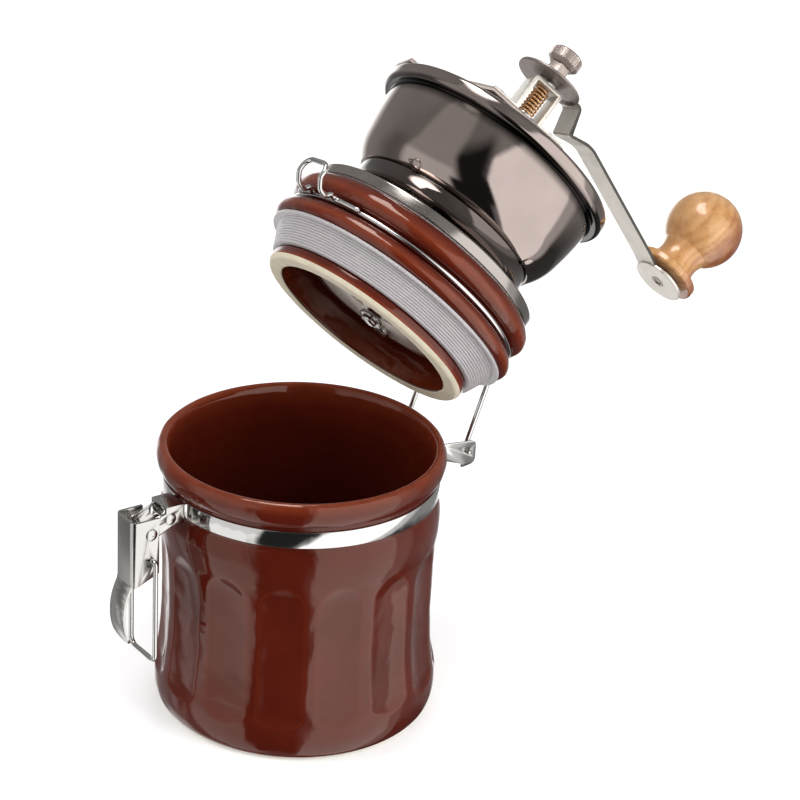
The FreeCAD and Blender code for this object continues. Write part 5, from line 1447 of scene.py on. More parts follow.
def make_lid(sizes, materials):
    """Glazed lid with its bare foot, and the ribbed gasket round it."""
    groove_root = mm.groove_mouth - mm.groove_round
    groove_middle = mm.groove_low + mm.groove_round
    groove_high = groove_middle + mm.groove_round
    hollow_edge = mm.lid_hollow + glaze.hollow_gap
    lid = lathe("glazed_lid", outline([
        (mm.lid_hollow, mm.lid_foot),
        (mm.lid_foot_radius, mm.lid_foot),
        (mm.lid_ring_radius, mm.lid_ring_low, mm.lid_ring_round, 1),
        (mm.lid_ring_radius, mm.lid_ring_high),
        (mm.lid_seat_radius, mm.lid_seat_low, mm.lid_seat_round, 1),
        (mm.lid_seat_radius, mm.lid_seat_high),
        (mm.lid_ledge, mm.lid_seat_high),
        (mm.lid_low_bead, mm.lid_low_bead_level, mm.lid_low_bead_under, 1),
        (mm.groove_mouth, mm.groove_low, mm.lid_low_bead_over, 1),
        (groove_root, groove_middle, mm.groove_round, -1),
        (mm.groove_mouth, groove_high, mm.groove_round, -1),
        (mm.lid_high_bead, mm.lid_high_bead_level, mm.lid_high_bead_under, 1),
        (mm.lid_top_radius, mm.lid_top, mm.lid_high_bead_over, 1),
        (mm.burr_bore, mm.lid_top),
        (mm.burr_bore, mm.lid_ceiling),
        (mm.lid_hollow, mm.lid_ceiling),
    ], soft=0.8), columns=288)

    def edge_glaze_and_highlight_at(across, level):
        """Glaze thins on the two beads, where it also stands for a painted highlight, and where it
        stops above the bare foot.
        """
        low = 1 - min(abs(level - mm.lid_low_bead_level) / glaze.low_bead_run, 1)
        high = 1 - min(abs(level - mm.lid_high_bead_level) / glaze.high_bead_run, 1)
        foot = 1 - min(abs(level - mm.lid_ring_low) / glaze.ring_run, 1)
        outer = between(across, groove_root + glaze.groove_gap, mm.lid_high_bead)
        return max(outer * max(low, high) * glaze.bead_thin_and_highlight, foot * glaze.ring_thin)

    def inner_shade_at(across, level):
        """Painted shade in the lid's hollow."""
        return glaze.hollow_shade if across < hollow_edge else 0

    mark(lid, "glaze_thin", edge_glaze_and_highlight_at)
    mark(lid, "glaze_deep", inner_shade_at)
    lid.data.materials.append(materials.glaze)
    lid.data.materials.append(materials.bisque)
    for face in lid.data.polygons:
        level = face.center.z / MM
        across = math.hypot(face.center.x, face.center.y) / MM
        bare = level < mm.lid_ring_low - glaze.bare_gap and across > hollow_edge
        face.material_index = 1 if bare else 0
    finished(placed(lid, LID), "lid", "glazed_ceramic", None, "lid_body")

    ribs = sizes.gasket_ribs
    low, high = mm.gasket_low, mm.gasket_flange_high
    foot = mm.fin_first_radius
    corners = [(mm.gasket_inner, low), (mm.gasket_web, low)]
    step = (mm.gasket_flange_low - low) / ribs
    for number in range(ribs):
        level = low + number * step
        share = (number + 0.5) / ribs
        reach = foot + (mm.gasket_flange - rib.short - foot) * share
        corners += [
            (reach - mm.rib_depth, level + rib.start * step),
            (reach, level + rib.peak * step),
            (reach + rib.lean, level + rib.back * step),
            (reach - rib.end_depth * mm.rib_depth, level + rib.end * step),
        ]
    corners += [
        (mm.gasket_flange, mm.gasket_flange_low),
        (mm.gasket_flange, high),
        (mm.gasket_inner, high),
    ]
    gasket = lathe("ribbed_gasket", outline(corners, soft=0.22), columns=240)
    finished(placed(gasket, LID), "lid", "soft_gasket", materials.gasket, "lid_gasket")


def make_lid_wires(materials):
    """Hinge wire and front hook, each bent from one length of round wire."""

    def round_bend(radius, corner, half, side):
        """The lid's ring and its bend into a leg: end angle, and points of the bend."""
        angle = math.asin((half + corner) / (radius + corner))
        start = math.cos(angle) * (radius + corner)
        centre = Vector((half + corner, side * start, 0))
        first = Vector((radius * math.sin(angle), side * radius * math.cos(angle), 0)) - centre
        last = Vector((-corner, 0, 0))
        axis = first.cross(last).normalized()
        turns = [first.angle(last) * step / BEND_STEPS for step in range(BEND_STEPS + 1)]
        return angle, [centre + Quaternion(axis, turn) @ first for turn in turns]

    def ring_points(radius, first, last, side, steps):
        """Points on the ring between two angles, measured from the Y axis."""
        angles = [first + (last - first) * step / steps for step in range(steps)]
        return [
            Vector((radius * math.sin(angle), side * radius * math.cos(angle), 0))
            for angle in angles
        ]

    def lifted(points, level):
        """The same points, higher by this level."""
        return [point + Vector((0, 0, level)) for point in points]

    level = mm.ring_level
    angle, bend = round_bend(mm.ring_radius, mm.ring_corner, mm.leg_half, 1)
    ring = ring_points(mm.ring_radius, math.pi, angle, 1, RING_STEPS)
    leg = rounded_path([
        Vector((mm.leg_half, bend[-1].y, level)),
        Vector((mm.leg_half, mm.leg_start_out, level)),
        Vector((mm.leg_half, mm.leg_knee_out, mm.leg_knee_level)),
        Vector((mm.leg_half, mm.hinge_out, mm.hinge_level)),
        Vector((mm.leg_end_half, mm.hinge_out, mm.hinge_level)),
    ], [mm.leg_bend, mm.leg_bend, mm.leg_foot_bend])
    half = lifted(ring[1:] + bend, level) + leg[1:]
    path = mirrored(half) + [Vector((0, -mm.ring_radius, level))] + half
    wire = tube("hinge_wire", path, mm.ring_wire)
    finished(placed(wire, LID), "lid", "wire_steel", materials.wire, "lid_wire")

    angle, bend = round_bend(mm.hook_ring_radius, mm.hook_corner, mm.hook_half, -1)
    tail_start = angle + math.radians(mm.hook_overlap)
    tail = ring_points(mm.hook_ring_radius, tail_start, angle, -1, TAIL_STEPS)
    rise = rounded_path([
        Vector((mm.hook_half, bend[-1].y, level)),
        Vector((mm.hook_half, -mm.hook_start_out, level)),
        Vector((mm.hook_half, -mm.hook_dip_out, mm.hook_dip_level)),
        Vector((mm.hook_half, -mm.hook_turn_out, mm.hook_turn_level)),
        Vector((mm.hook_half, -mm.hook_rise_out, mm.hook_rise_level)),
        Vector((mm.hook_half, -mm.hook_top_out, mm.hook_top_level)),
        Vector((0, -mm.hook_top_out, mm.hook_top_level)),
    ], [
        mm.hook_bend_start, mm.hook_bend_dip, mm.hook_bend_rise, mm.hook_bend_rise,
        mm.hook_bend_top,
    ])
    half = lifted(tail + bend, level) + rise[1:-1]
    path = half + [rise[-1]] + mirrored(half)
    hook = tube("lid_hook_wire", path, mm.hook_wire)
    finished(placed(hook, HOOK), "lid", "wire_steel", materials.wire, "lid_hook")


def make_grinding_set(materials):
    """Burrs, carrier, bolts and shaft, seen up through the lid's hollow."""
    eased_node("outer_burr", "lid", "burr_iron", materials.iron)
    eased_node("inner_burr", "crank", "burr_iron", materials.iron)
    eased_node("burr_carrier", "lid", "carrier_steel", materials.carrier)
    eased_node("drive_shaft", "crank", "carrier_steel", materials.bright)
    eased_node("shaft_clip", "crank", "carrier_steel", materials.plated)
    seat = mm.lid_ceiling - mm.carrier_thick
    head_low = seat - mm.bolt_head_tall
    shape = outline([
        (0, head_low),
        (mm.bolt_head_radius - mm.bolt_head_round, head_low),
        (mm.bolt_head_radius, head_low + mm.bolt_head_round, mm.bolt_head_round, 1),
        (mm.bolt_head_radius, seat),
        (mm.bolt_radius, seat),
        (mm.bolt_radius, mm.bolt_top),
        (0, mm.bolt_top),
    ], soft=0.2)
    bolt = placed(lathe("lid_bolts", shape, columns=32), shifted(mm.bolt_ring, 0))
    grown(
        bolt, spaced_round_tree(), count=mm.bolt_count, first_turn=0.0, material=materials.plated
    )
    finished(placed(bolt, LID), "lid", "carrier_steel", None, "mount_bolts")
    eased_node("mount_nuts", "lid", "carrier_steel", materials.plated)


def make_hopper(sizes, materials):
    """Dished base with its bright flange, dark bowl with a rolled rim, and funnel."""
    low = mm.lid_top + mm.seal_thick
    sheet_top = low + mm.base_sheet
    neck_in = mm.base_neck_radius - mm.base_sheet
    lip_in = mm.flange_radius - mm.base_lip_in
    base = lathe("hopper_foot", outline([
        (mm.seal_inner, low),
        (mm.flange_radius, low),
        (mm.flange_radius, mm.flange_high),
        (mm.flange_radius - mm.flange_round, mm.flange_high + mm.flange_round, mm.flange_round, 1),
        (mm.base_neck_radius, mm.base_neck_low, mm.base_curve, -1),
        (mm.base_neck_radius, mm.base_neck_high),
        (neck_in, mm.base_neck_high),
        (neck_in, mm.base_neck_low),
        (lip_in, mm.flange_high - mm.base_lip_drop, mm.base_inner_curve, 1),
        (lip_in, sheet_top),
        (mm.seal_inner, sheet_top),
    ], soft=0.25), columns=256)
    # Painted shade: the dished base under the bowl takes the darkened black nickel
    base.data.materials.append(materials.neck)
    base.data.materials.append(materials.flange)
    bright_top = (mm.flange_high + FLANGE_BRIGHT * mm.flange_round) * MM
    for face in base.data.polygons:
        face.material_index = 1 if face.center.z < bright_top else 0
    finished(placed(base, LID), "lid", "hopper_steel", None, "hopper_base")

    skin = mm.bowl_sheet
    collar_in = mm.bowl_collar - skin
    bowl = lathe("hopper_dark_bowl", outline([
        (collar_in, mm.bowl_collar_low),
        (mm.bowl_collar, mm.bowl_collar_low),
        (mm.bowl_collar, mm.bowl_foot),
        (mm.bowl_foot_radius, mm.bowl_foot),
        (mm.bowl_mid_radius, mm.bowl_mid_level, mm.bowl_low_curve, 1),
        (mm.bowl_high_radius, mm.bowl_high_level, mm.bowl_high_curve, 1),
        (mm.bowl_high_radius, mm.rim_low),
        (mm.rim_radius - mm.rim_round, mm.rim_low),
        (mm.rim_radius, mm.rim_low + mm.rim_round, mm.rim_round, 1),
        (mm.rim_radius, mm.rim_top - mm.rim_round),
        (mm.rim_radius - mm.rim_round, mm.rim_top, mm.rim_round, 1),
        (mm.rim_inner, mm.rim_top),
        (mm.rim_inner, mm.bowl_high_level),
        (mm.bowl_mid_radius - skin, mm.bowl_mid_level, mm.bowl_high_curve - skin, -1),
        (mm.bowl_foot_radius - skin, mm.bowl_foot + skin, mm.bowl_low_curve - skin, -1),
        (collar_in, mm.bowl_foot + skin),
    ], soft=0.5), columns=288)

    def fold_dark(across, level):
        """Painted shade in the fold under the rolled rim."""
        height = level - mm.rim_low
        under = between(height, -fold.start_below, -fold.full_below)
        over = between(-height, -fold.end_above, fold.fade_below)
        return min(under, over) if across > mm.bowl_mid_radius else 0

    mark(bowl, "fold_dark", fold_dark)
    finished(placed(bowl, LID), "lid", "hopper_steel", materials.dark, "hopper_bowl")
    eased_node("hopper_funnel", "lid", "hopper_steel", materials.plated)
    carried("flange_seal", materials.gasket)
    eased_node("shaft_guide", "lid", "carrier_steel", materials.plated)

    head, tall, step = mm.rivet_head, mm.rivet_head_tall, mm.rivet_step
    rivet = lathe("bowl_rivets", outline([
        (0, -step), (head, -step), (head, step), (0, step + tall, dome_radius(head, tall), 1),
    ], soft=0.15), columns=28)
    bowl_start = Vector((mm.bowl_foot_radius, mm.bowl_foot))
    bowl_middle = Vector((mm.bowl_mid_radius, mm.bowl_mid_level))
    low_arc = arc_points(bowl_start, bowl_middle, mm.bowl_low_curve, 1)
    along = low_arc[2] - low_arc[0]
    lean = math.degrees(math.atan2(along.y, -along.x))
    placed(rivet, shifted(*low_arc[1]) @ turned(lean, "Y"))
    grown(
        rivet, spaced_round_tree(), count=sizes.bowl_rivets,
        first_turn=math.radians(mm.rivet_turn), material=materials.dark,
    )
    finished(placed(rivet, LID), "lid", "hopper_steel", None)


def make_bridge(materials):
    """Strip over the hopper's mouth, the arch on it, their screws and the bearing."""
    eased_node("hopper_bridge", "lid", "bridge_steel", materials.nut, "bridge_strip")
    eased_node("arch_bracket", "lid", "bridge_steel", materials.arm, "spring_arch")
    foot_top = mm.bridge_top + mm.arch_sheet
    dome = dome_radius(mm.arch_screw_head, mm.arch_screw_dome)
    screw = lathe("arch_dome_screws", outline([
        (0, mm.arch_screw_low),
        (mm.arch_screw_radius, mm.arch_screw_low),
        (mm.arch_screw_radius, foot_top),
        (mm.arch_screw_head, foot_top),
        (0, foot_top + mm.arch_screw_dome, dome, 1),
    ], soft=0.15), columns=36)
    placed(screw, shifted(mm.arch_screw_out, 0))
    grown(
        screw, spaced_round_tree(), count=mm.arch_screw_count, first_turn=0.0,
        material=materials.nut,
    )
    finished(placed(screw, BRIDGE), "lid", "knurled_nut", None, "arch_screws")
    eased_node("arch_nuts", "lid", "knurled_nut", materials.nut)
    eased_node("upper_bush", "lid", "bridge_steel", materials.plated)


def make_spring(sizes, materials):
    """Copper washed spring that holds the crank's head up."""
    seat = mm.bridge_top + mm.upper_bush_flange_tall + mm.seat_thick
    ceiling = mm.arch_top - mm.arch_sheet
    spring = piece_from("adjuster_coil", bpy.data.meshes.new("adjuster_coil"))
    grown(
        spring, coil_tree(), turns=sizes.spring_turns, mean_radius=mm.spring_radius * MM,
        wire_radius=mm.spring_wire * MM, height=(ceiling - seat - 2 * mm.spring_wire) * MM,
        low_level=(seat + mm.spring_wire) * MM, material=materials.copper,
    )
    finished(placed(spring, BRIDGE), "lid", "copper_wire", None, "adjuster_spring")
    eased_node("spring_seat", "lid", "bridge_steel", materials.plated)


def knurl_ridges(sizes, materials, core, low, top):
    """The upright ridges round the thumb nut's core, with sloped ends."""
    half = math.pi * core / sizes.knurls * knurl.width
    first = low + mm.thumb_chamfer * knurl.low_chamfer
    last = top - mm.thumb_top_chamfer * knurl.top_chamfer
    inner, outer, crest_half = core - knurl.root, mm.thumb_radius, knurl.crest_half
    vertices = []
    for level, crest in (
        (first, inner), (first + knurl.end, outer), (last - knurl.end, outer), (last, inner),
    ):
        vertices += [
            Vector(point) * MM for point in (
                (inner, -half, level),
                (inner, half, level),
                (crest, crest_half, level),
                (crest, -crest_half, level),
            )
        ]
    ridge = through_rings("knurl", vertices, 4)
    ridge.data.shade_flat()
    grown(
        ridge, spaced_round_tree(), count=sizes.knurls, first_turn=0.0, material=materials.nut
    )
    return ridge


def make_thumb_nut(sizes, materials):
    """Knurled thumb nut, with a blind bore for the shaft's end."""
    low = mm.collar_low + mm.collar_tall
    top = low + mm.thumb_tall
    core = mm.thumb_radius - sizes.knurl_height / MM
    nut = lathe("thumb_nut_knurled", outline([
        (0, mm.shaft_top),
        (mm.shaft_thin, mm.shaft_top),
        (mm.shaft_thin, low),
        (core - mm.thumb_chamfer, low),
        (core, low + mm.thumb_chamfer),
        (core, top - mm.thumb_top_chamfer),
        (core - mm.thumb_top_chamfer, top),
        (0, top),
    ], soft=0.2), columns=128)
    nut.data.materials.append(materials.nut)
    joined(nut, knurl_ridges(sizes, materials, core, low, top))
    finished(placed(nut, CRANK), "crank", "knurled_nut", None, "thumb_nut")


def make_crank(sizes, materials):
    """Flat cap and cranked arm in one pressing, its washers, collar and knurled thumb nut."""
    cap_under = mm.cap_top - mm.cap_sheet
    cap = flat_ring(
        "crank_pressing", mm.shaft_thin, mm.cap_radius, cap_under, mm.cap_top, soft=0.3,
        columns=96,
    )
    line = rounded_path([Vector((out, 0, level)) for out, level in (
        (mm.cap_radius - STRIP_UNDER_CAP * mm.cap_sheet, cap_under),
        (mm.cap_radius + mm.cap_sheet, cap_under),
        (mm.arm_dip_out, mm.arm_dip_level),
        (mm.arm_dip_end_out, mm.arm_dip_level),
        (mm.arm_rise_out, mm.arm_rise_level),
        (mm.arm_crest_out, mm.arm_crest_level),
        (mm.arm_slope_out, mm.arm_slope_level),
        (mm.arm_tip_out, mm.arm_tip_level),
    )], [mm.cap_bend, mm.arm_dip_bend, mm.arm_dip_bend, mm.arm_bend, mm.arm_bend, mm.arm_bend])
    arm = eased_edges(
        strip("crank_strip", line, mm.arm_half, mm.arm_sheet, materials.arm, materials.sheared)
    )
    half = mm.arm_sheet / 2
    eye = flat_ring(
        "crank_eye", mm.spindle_radius, mm.eye_radius, -half, half, soft=0.3, columns=72
    )
    placed(eye, EYE)
    # Painted dark reflection: the cap is toned darker than the arm
    cap.data.materials.append(materials.cap)
    eye.data.materials.append(materials.arm)
    pressing = joined(joined(cap, arm), eye)
    finished(placed(pressing, CRANK), "crank", "crank_steel", None, "crank_arm")
    eased_node("thrust_washer", "crank", "crank_steel", materials.plated)
    eased_node("crank_washer", "crank", "crank_steel", materials.plated)
    eased_node("crank_collar", "crank", "knurled_nut", materials.nut, share=SOFT_EDGES)
    make_thumb_nut(sizes, materials)


def make_knob(materials):
    """Turned wooden knob on its riveted spindle."""
    eye_half = mm.arm_sheet / 2
    stem = lathe("knob_spindle_stem", outline([
        (0, mm.socket_floor - eye_half),
        (mm.spindle_radius, mm.socket_floor - eye_half),
        (mm.spindle_radius, eye_half),
        (mm.spindle_collar, eye_half),
        (mm.spindle_collar, mm.spindle_collar_high),
        (mm.spindle_radius, mm.spindle_collar_high),
        (mm.spindle_radius, mm.spindle_top),
        (0, mm.spindle_top),
    ], soft=0.15), columns=48)
    stem.data.materials.append(materials.nut)
    socket = flat_ring(
        "knob_spindle_socket", mm.socket_inner, mm.socket_outer, -eye_half - mm.socket_proud,
        eye_half / 2, soft=0.15, columns=6,
    )
    socket.data.materials.append(materials.dark)
    finished(placed(joined(stem, socket), KNOB), "crank", "crank_steel", None, "knob_spindle")
    eased_node("knob_washer", "crank", "crank_steel", materials.plated)
    bore = mm.spindle_radius + mm.running_gap
    edge, ball, neck = mm.knob_flange_round, mm.knob_ball, mm.knob_neck
    wide_neck = neck + mm.knob_neck_swell
    neck_top = mm.knob_ball_level - math.sqrt(ball * ball - wide_neck * wide_neck)
    knob = lathe("turned_knob", outline([
        (bore, mm.knob_low),
        (mm.knob_flange - edge, mm.knob_low),
        (mm.knob_flange, mm.knob_low + edge, edge, 1),
        (mm.knob_flange, mm.knob_flange_high - edge),
        (mm.knob_flange - edge, mm.knob_flange_high, edge, 1),
        (neck + mm.knob_fillet_out, mm.knob_flange_high + mm.knob_fillet_rise),
        (neck, mm.knob_flange_high + mm.knob_neck_rise, mm.knob_fillet_round, -1),
        (wide_neck, neck_top, mm.knob_neck_round, -1),
        (ball, mm.knob_ball_level, ball, 1),
        (0, mm.knob_ball_level + ball, ball, 1),
        (0, mm.knob_bore_top),
        (bore, mm.knob_bore_top),
    ], soft=0.4), columns=128)
    finished(placed(knob, KNOB), "knob_body", "turned_wood", materials.wood, "knob")


def kept_materials():
    """The grinder's materials, made once from the colours that are set.  Each has a short name,
    its full name, its maker, and what the maker asks for: colour, roughness, and its lines."""
    colours = settings()[1]
    bright, arm = colours.bright_steel, colours.arm_steel
    rolled = ((0.12, 0.12, 1), UPRIGHT, grain.rolled_line)
    spun = ((0.12, 0.12, 1), LID, grain.rolled_line)
    drawn = ((1, 1, 0.1), UPRIGHT, grain.drawn_line)
    pressed = ((0.15, 1, 1), CRANK)
    makers = {
        "glaze": ("glazed_brown_stoneware", glazed_stoneware, colours),
        "bisque": ("bare_cream_stoneware", bare_stoneware, colours),
        "band": ("rolled_band_steel", worked_steel, bright, 0.09, *rolled),
        "bright": ("polished_stainless_steel", worked_steel, bright, 0.12),
        "plated": ("nickel_plated_steel", worked_steel, colours.plated_steel, 0.2),
        "wire": ("drawn_steel_wire", worked_steel, bright, 0.13, *drawn),
        "carrier": ("stamped_zinc_plated_steel", satin_steel, toned(arm, 1.15), 0.45),
        "dark": ("black_nickel_plating", black_nickel, colours),
        # The hopper's dished base: black nickel darkened to 0.4 of its tone, a painted shade under
        # the bowl
        "neck": ("heavy_black_nickel_plating", black_nickel, colours, 0.4),
        "flange": ("spun_flange_steel", worked_steel, colours.flange_steel, 0.12, *spun),
        "gasket": ("moulded_milky_silicone", silicone, colours),
        "iron": ("cast_burr_iron", cast_iron, colours),
        "copper": ("copper_washed_spring_wire", satin_steel, toned(colours.copper, 1.2), 0.24),
        "nut": ("warm_nickel_plating", satin_steel, colours.nut_steel, 0.32),
        "arm": ("pressed_satin_steel", satin_steel, arm, 0.36, *pressed),
        # The crank's cap: warm nickel toned down to 0.7, a painted dark reflection, though it is
        # one pressing with the arm
        "cap": ("turned_satin_steel", satin_steel, toned(colours.nut_steel, 0.7), 0.36),
        "sheared": ("sheared_steel_edge", satin_steel, toned(colours.iron, 0.5), 0.4),
        "wood": ("varnished_turned_wood", turned_wood, colours),
    }
    found = SimpleNamespace()
    for short, (name, maker, *values) in makers.items():
        if name not in bpy.data.materials:
            maker(name, *values)
        setattr(found, short, bpy.data.materials[name])
    return found


# Stage: camera, floor, surround and lamps

SEEN_BY_EYE = ("Is Camera Ray", "Is Glossy Ray", "Is Transmission Ray")

# What polished surfaces mirror: azimuth and elevation from, to, width of the soft edge, and
# brightness.  Later ones cover earlier ones.
PANELS = (
    ("room", -180, 180, -90, 90, 0, 0.3),
    ("dark_floor_behind", 144, 262, -90, -33, 10, 0.06),
    ("window_at_left", -150, -98, -32, 4, 12, 1.9),
    ("left_wall", -104, -56, -36, 64, 24, 0.37),
    ("left_gap", -68, -40, -40, 34, 20, 0.2),
    ("grey_wall", -40, 26, -44, 70, 8, 0.52),
    ("pale_wall", -40, 18, -30, 24, 9, 0.9),
    ("table_in_front", -36, 14, -70, -22, 5, 1.2),
    ("left_strip", -66, -52, -36, -20, 8, 0.7),
    ("table_at_left", -126, -60, -64, -40, 6, 1.2),
    ("behind_camera", 22, 61, -12, 49, 9, 0.02),
    ("below_camera", 12, 53, -62, 9, 5, 0.02),
    ("window_fade", 124, 145, -75, 36, 8, 0.75),
    ("high_window", 60, 128, 26, 60, 14, 0.4),
    ("window", 60, 130, -75, 38, 4, 1.7),
    ("lamp_above", -150, 60, 71, 90, 4, 9.0),
)
SURROUND_REACH = 3.0
SURROUND_COLUMNS = 180
SURROUND_ROWS = 90
FLOOR_REACH = 4.0
FLOOR_SIDES = 96
FLOOR_DROP = 0.2 * MM
STAGE_CENTRE = (0, 20, 110)
CLIP_NEAR = 0.05
CLIP_FAR = 30

# Lamps: azimuth, elevation, distance, width, height in metres, and power in watts
LAMPS = {
    "key": (100, 24, 1.2, 0.6, 0.9, 8.0),
    "left": (-30, 28, 1.2, 0.5, 0.8, 4.5),
    "top": (40, 68, 1.3, 0.9, 0.9, 5.0),
    "back": (215, 38, 1.3, 0.9, 0.7, 5.0),
}


def towards(azimuth, elevation):
    """A direction from the object, azimuth turned from the front towards the right."""
    around, up = math.radians(azimuth), math.radians(elevation)
    return Vector((math.sin(around) * math.cos(up), -math.cos(around) * math.cos(up), math.sin(up)))


def seen_by_eye(tree):
    """One for rays that come from the camera, straight or by a mirror or glass."""
    path = add(tree, "ShaderNodeLightPath").outputs
    known = {name: path[name] for name in SEEN_BY_EYE}
    chain(tree, known, MATH, (
        ("either", "MAXIMUM", *SEEN_BY_EYE[:2]),
        ("any", "MAXIMUM", "either", SEEN_BY_EYE[2]),
    ))
    return known["any"]


def make_camera(stage):
    """Camera at the photograph's angle."""
    azimuth = math.degrees(stage.azimuth)
    ahead = -towards(azimuth, math.degrees(stage.elevation))
    right = towards(azimuth + 90, 0)
    up = right.cross(ahead)
    tilted_right = right * math.cos(stage.roll) + up * math.sin(stage.roll)
    tilted_up = up * math.cos(stage.roll) - right * math.sin(stage.roll)
    camera = piece_from("camera", bpy.data.cameras.new("camera"))
    camera.data.lens = stage.lens
    camera.data.clip_start = CLIP_NEAR
    camera.data.clip_end = CLIP_FAR
    turn = Matrix((tilted_right, tilted_up, -ahead)).transposed().to_4x4()
    camera.matrix_world = Matrix.Translation(Vector(stage.aim) - ahead * stage.distance) @ turn
    bpy.context.scene.camera = camera


def make_world(stage):
    """White for the eye, and a soft fill for everything else."""
    world = bpy.data.worlds.new("white_room")
    bpy.context.scene.world = world
    world.use_nodes = True
    tree = world.node_tree
    tree.nodes.clear()
    strength = add(tree, "ShaderNodeMapRange", {
        "Value": seen_by_eye(tree), "To Min": stage.fill_level, "To Max": 1.0,
    })
    light = add(tree, "ShaderNodeBackground", {"Color": (1, 1, 1, 1), "Strength": strength})
    add(tree, "ShaderNodeOutputWorld", {"Surface": light})


def make_floor(stage):
    """Plain pale floor, which keeps the object's shadow."""
    rim = [towards(360 * n / FLOOR_SIDES, 0) * FLOOR_REACH for n in range(FLOOR_SIDES)]
    rim = [point - Vector((0, 0, FLOOR_DROP)) for point in rim]
    mesh = bpy.data.meshes.new("floor")
    mesh.from_pydata(rim, [], [tuple(range(FLOOR_SIDES))])
    floor = piece_from("floor", mesh)
    tree = new_tree("matt_white_floor")
    glow = add(tree, "ShaderNodeMapRange", {
        "Value": seen_by_eye(tree), "To Min": 0.0, "To Max": stage.floor_lift,
    })
    end_material(
        tree, toned(stage.floor, 1), Roughness=0.9, Specular_IOR_Level=0.0,
        Emission_Color=(1, 1, 1, 1), Emission_Strength=glow,
    )
    floor.data.materials.append(bpy.data.materials["matt_white_floor"])
    floor.visible_glossy = False


def panel_level(azimuth, elevation):
    """Brightness of the surround in a direction, with soft edges between its panels."""
    level = 0
    for _, first, last, low, high, soft, brightness in PANELS:
        middle, half = (first + last) / 2, (last - first) / 2
        off = abs((azimuth - middle + 180) % 360 - 180)
        beside = 1 if half >= 180 else between(half - off, -soft / 2, soft / 2)
        under = 1 if low <= -90 else between(elevation, low - soft / 2, low + soft / 2)
        over = 1 if high >= 90 else between(-elevation, -high - soft / 2, -high + soft / 2)
        share = beside * under * over
        level += (brightness - level) * share
    return level


def make_surround(stage):
    """Panels round the stage that only polished surfaces see."""
    columns, rows = SURROUND_COLUMNS, SURROUND_ROWS
    mesh = bpy.data.meshes.new("surround")
    vertices, levels = [], []
    for row in range(rows + 1):
        for column in range(columns):
            azimuth, elevation = 360 * column / columns, 180 * row / rows - 90
            vertices.append(towards(azimuth, elevation) * SURROUND_REACH)
            levels.append(panel_level(azimuth, elevation) * stage.panel_level)
    faces = []
    for row in range(rows):
        for column in range(columns):
            here, beside = row * columns + column, row * columns + (column + 1) % columns
            faces.append((here, beside, beside + columns, here + columns))
    mesh.from_pydata(vertices, [], faces)
    layer = mesh.attributes.new("panel_level", "FLOAT", "POINT")
    layer.data.foreach_set("value", levels)
    surround = piece_from("surround", mesh)
    tree = new_tree("studio_panels")
    level = add(tree, "ShaderNodeAttribute", attribute_name="panel_level").outputs["Fac"]
    glow = add(tree, "ShaderNodeEmission", {"Color": (1, 1, 1, 1), "Strength": level})
    add(tree, "ShaderNodeOutputMaterial", {"Surface": glow})
    material = bpy.data.materials["studio_panels"]
    material.cycles.emission_sampling = "NONE"
    mesh.materials.append(material)
    surround.visible_camera = False
    surround.visible_diffuse = False
    surround.visible_transmission = False
    surround.visible_shadow = False


def make_lamps(stage):
    """Soft lamps; their own mirror images are left to the surround."""
    centre = Vector(STAGE_CENTRE) * MM
    for name, (azimuth, elevation, reach, wide, tall, power) in LAMPS.items():
        lamp = bpy.data.lights.new(name, "AREA")
        lamp.shape = "RECTANGLE"
        lamp.size = wide
        lamp.size_y = tall
        lamp.energy = power * stage.lamp_level
        holder = piece_from(name, lamp)
        away = towards(azimuth, elevation)
        holder.location = centre + away * reach
        holder.rotation_euler = away.to_track_quat("Z", "Y").to_euler()
        holder.visible_glossy = False


# Operators, one for each piece or group of like pieces

class GRINDER_OT_jar(bpy.types.Operator):
    """Glazed jar with upright flutes"""

    bl_idname = "grinder.jar"
    bl_label = "Jar"
    bl_options = {"REGISTER", "UNDO"}

    def execute(self, context):
        """Makes the jar from the scene's sizes and colours."""
        make_jar(settings()[0], kept_materials())
        return {"FINISHED"}


class GRINDER_OT_neck_band(bpy.types.Operator):
    """Steel band round the jar's neck and the hinge bracket"""

    bl_idname = "grinder.neck_band"
    bl_label = "Neck band"
    bl_options = {"REGISTER", "UNDO"}

    def execute(self, context):
        """Makes the neck band with the scene's colours and edges."""
        make_neck_band(kept_materials())
        return {"FINISHED"}


class GRINDER_OT_latch(bpy.types.Operator):
    """Saddle, pins, lever and bail of the clip"""

    bl_idname = "grinder.latch"
    bl_label = "Latch"
    bl_options = {"REGISTER", "UNDO"}

    def execute(self, context):
        """Makes the latch with the scene's colours and edges."""
        make_latch(kept_materials())
        return {"FINISHED"}


class GRINDER_OT_lid(bpy.types.Operator):
    """Glazed lid with its bare foot and ribbed gasket"""

    bl_idname = "grinder.lid"
    bl_label = "Lid"
    bl_options = {"REGISTER", "UNDO"}

    def execute(self, context):
        """Makes the lid from the scene's sizes and colours."""
        make_lid(settings()[0], kept_materials())
        return {"FINISHED"}


class GRINDER_OT_lid_wires(bpy.types.Operator):
    """Hinge wire and front hook of the lid"""

    bl_idname = "grinder.lid_wires"
    bl_label = "Lid wires"
    bl_options = {"REGISTER", "UNDO"}

    def execute(self, context):
        """Makes the lid wires with the scene's colours and edges."""
        make_lid_wires(kept_materials())
        return {"FINISHED"}


class GRINDER_OT_grinding_set(bpy.types.Operator):
    """Burrs, carrier, bolts and drive shaft"""

    bl_idname = "grinder.grinding_set"
    bl_label = "Grinding set"
    bl_options = {"REGISTER", "UNDO"}

    def execute(self, context):
        """Makes the grinding set with the scene's colours and edges."""
        make_grinding_set(kept_materials())
        return {"FINISHED"}


